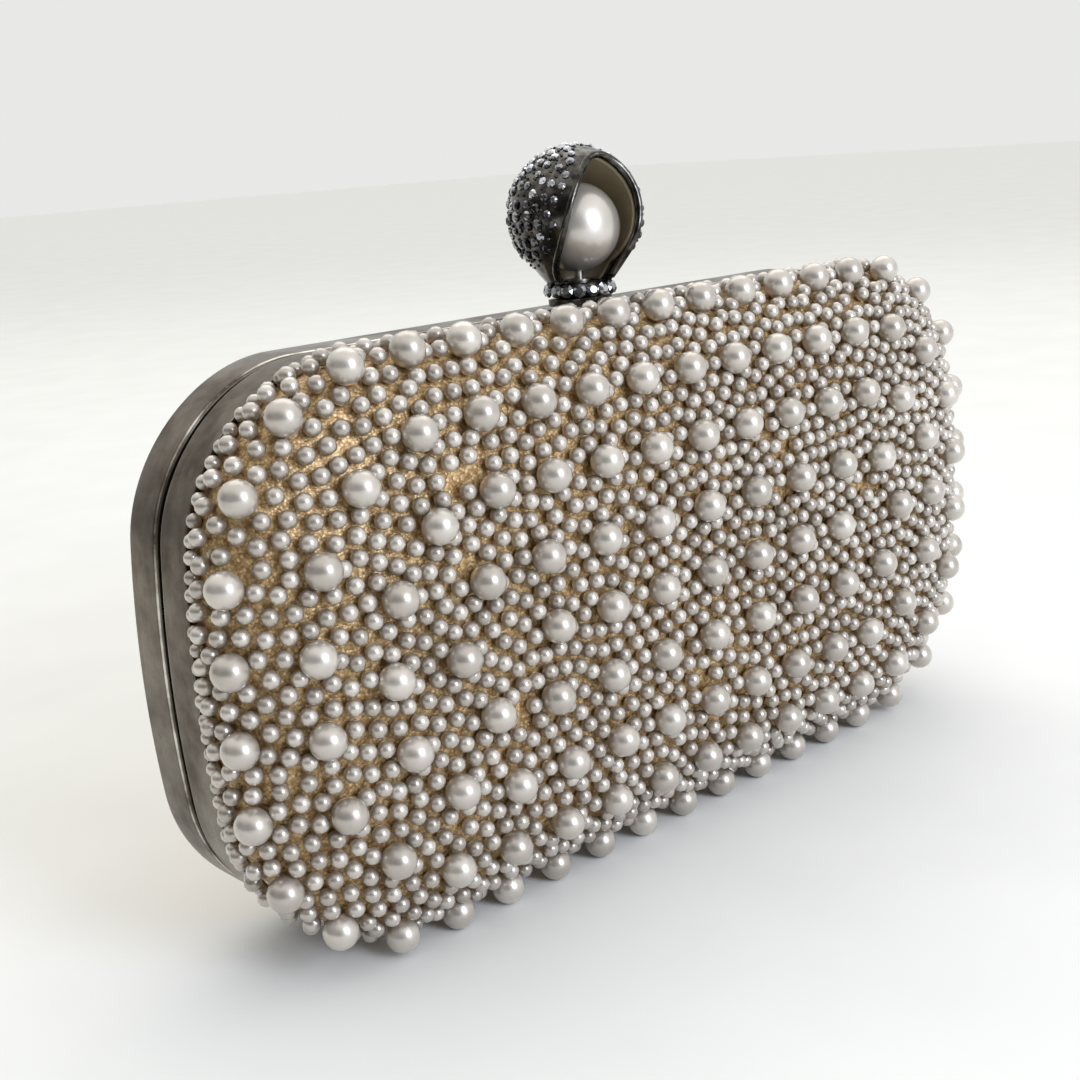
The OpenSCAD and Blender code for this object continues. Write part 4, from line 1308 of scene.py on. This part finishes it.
class BAG_OT_stones(bpy.types.Operator):
    """Set the stones on the cage and the collar, with the grains that hold them"""

    bl_idname = "evening_bag.stones"
    bl_label = "Stones"

    def execute(self, context):
        clasp, rng = context.scene.bag_clasp, np.random.default_rng(SEED + 2)
        centre = np.array([0, SEAM_Y, TOP_Z + clasp.rise])
        phi, lat = cage_stone_places(rng, clasp.stone_step, -36, 86)
        places = on_ball(phi, lat, clasp.cage_r + 0.0001)
        radii = clasp.stone_r * rng.uniform(0.72, 1.0, len(places))
        # Stones grow lighter with height from about 14 to 50 degrees: painted light from above, on top of a
        # random lightness.
        tone_and_top_light = 0.7 * rng.uniform(0, 1, len(places)) ** 2 + 0.5 * np.clip(1.6 * lat - 0.4, 0, 1)
        stones("clasp_cage_stones", places, unit(places - centre), radii, tone_and_top_light, "latch",
               ["cage_crystals"], rng)
        phi, lat = cage_stone_places(rng, 0.6 * clasp.stone_step, -48, 88)
        grains = on_ball(phi, lat, clasp.cage_r + 0.0001)
        apart = distances(grains, places).min(1) > 0.9 * clasp.stone_r
        points, quads, _ = balls(grains[apart], np.full(apart.sum(), clasp.grain_r), 2)
        new_piece("clasp_cage_grains", points, quads, gunmetal_plate(), "latch",
                  welded=False)
        self.collar_stones(clasp, rng)
        return {"FINISHED"}

    def collar_stones(self, clasp, rng):
        """One ring of stones round the collar, evenly spaced and tipped slightly up."""
        count = 16
        turn = np.arange(count) * 2 * math.pi / count
        out = np.stack([np.cos(turn), np.sin(turn), 0 * turn + 0.25], axis=-1)
        middle = np.array([0, SEAM_Y, TOP_Z + 0.0033])
        flat = np.stack([np.cos(turn), np.sin(turn), 0 * turn], axis=-1)
        centres = middle + flat * (clasp.collar_r + 0.0002)
        radii = np.full(count, clasp.collar_stone_r)
        stones("clasp_collar_stones", centres, unit(out), radii, rng.uniform(0.3, 1, count), "latch",
               ["collar_crystals"], rng)


class BAG_OT_collar(bpy.types.Operator):
    """Turn the clasp's collar and make its foot"""

    bl_idname = "evening_bag.collar"
    bl_label = "Collar and foot"

    def execute(self, context):
        clasp = context.scene.bag_clasp
        r = clasp.collar_r
        section = rounded([(0.004, 0.0018), (0.0049, 0.0018), (r, 0.0028), (r, 0.004), (0.0052, 0.0047),
                           (0.004, 0.0047)], [0.0002, 0.0004, 0.0005, 0.0005, 0.0003, 0.0002])
        profile = np.concatenate([[[0, 0.0018]], section, [[0, 0.0047]]])
        points, quads = revolve(profile, 96)
        new_piece("clasp_collar_ring", points, quads, gunmetal_plate(), "latch",
                  ["clasp_collar"])
        self.foot(clasp)
        return {"FINISHED"}

    def foot(self, clasp):
        """The oval foot: a superellipse with rounded upper and lower edges, closed at both faces."""
        turn = np.linspace(0, 2 * math.pi, 96, endpoint=False)
        heights = rounded([(0, 0.00055), (1, 0.00055), (1, 0.00175), (0, 0.00175)],
                          [0.00001, 0.0003, 0.0003, 0.00001])
        rows = []
        for share, z in np.concatenate([[[0, 0.00055]], heights[5:15], [[0, 0.00175]]]):
            x = share * clasp.foot_r * np.sign(np.cos(turn)) * abs(np.cos(turn)) ** 0.9
            y = share * clasp.foot_y * np.sign(np.sin(turn)) * abs(np.sin(turn)) ** 0.75
            rows.append(np.stack([x, SEAM_Y + y, np.full_like(x, TOP_Z + z)], axis=-1))
        new_piece("clasp_foot_plate", np.array(rows).reshape(-1, 3), grid_quads(len(rows), 96, True),
                  gunmetal_plate(), "latch", ["clasp_foot"])


class BAG_OT_hardware(bpy.types.Operator):
    """Give the shells, hinges, screws and catch their finishes"""

    bl_idname = "evening_bag.hardware"
    bl_label = "Hardware"

    def execute(self, context):
        for name, piece in frame["nodes"].items():
            if piece.hide_render:
                continue
            piece.data.materials.clear()
            piece.data.materials.append(moulded_abs() if name.endswith("_shell") else plated_steel())
        return {"FINISHED"}


class BAG_PT_panel(bpy.types.Panel):
    """Sizes, finishes and pieces of the bag"""

    bl_idname = "BAG_PT_panel"
    bl_label = "Evening Bag"
    bl_space_type = "VIEW_3D"
    bl_region_type = "UI"
    bl_category = "Evening Bag"

    def draw(self, context):
        for name, group in GROUPS.items():
            box = self.layout.box()
            box.label(text=group.__doc__)
            for key in group.__annotations__:
                box.prop(getattr(context.scene, name), key)
        for operator in OPERATORS:
            self.layout.operator(operator.bl_idname)


OPERATORS = (
    BAG_OT_studio,
    BAG_OT_frames,
    BAG_OT_covers,
    BAG_OT_trays,
    BAG_OT_large_pearls,
    BAG_OT_small_pearls,
    BAG_OT_cage,
    BAG_OT_stones,
    BAG_OT_collar,
    BAG_OT_hardware,
)


def register():
    for kind in (*GROUPS.values(), *OPERATORS, BAG_PT_panel):
        bpy.utils.register_class(kind)
    for name, group in GROUPS.items():
        setattr(bpy.types.Scene, name, PointerProperty(type=group))


def unregister():
    for name in GROUPS:
        delattr(bpy.types.Scene, name)
    for kind in reversed((*GROUPS.values(), *OPERATORS, BAG_PT_panel)):
        bpy.utils.unregister_class(kind)


def main():
    """Registers the add-on, and makes the studio and every piece in order."""
    register()
    for operator in OPERATORS:
        getattr(bpy.ops.evening_bag, operator.bl_idname.split(".")[1])()


if __name__ == "__main__":
    main()
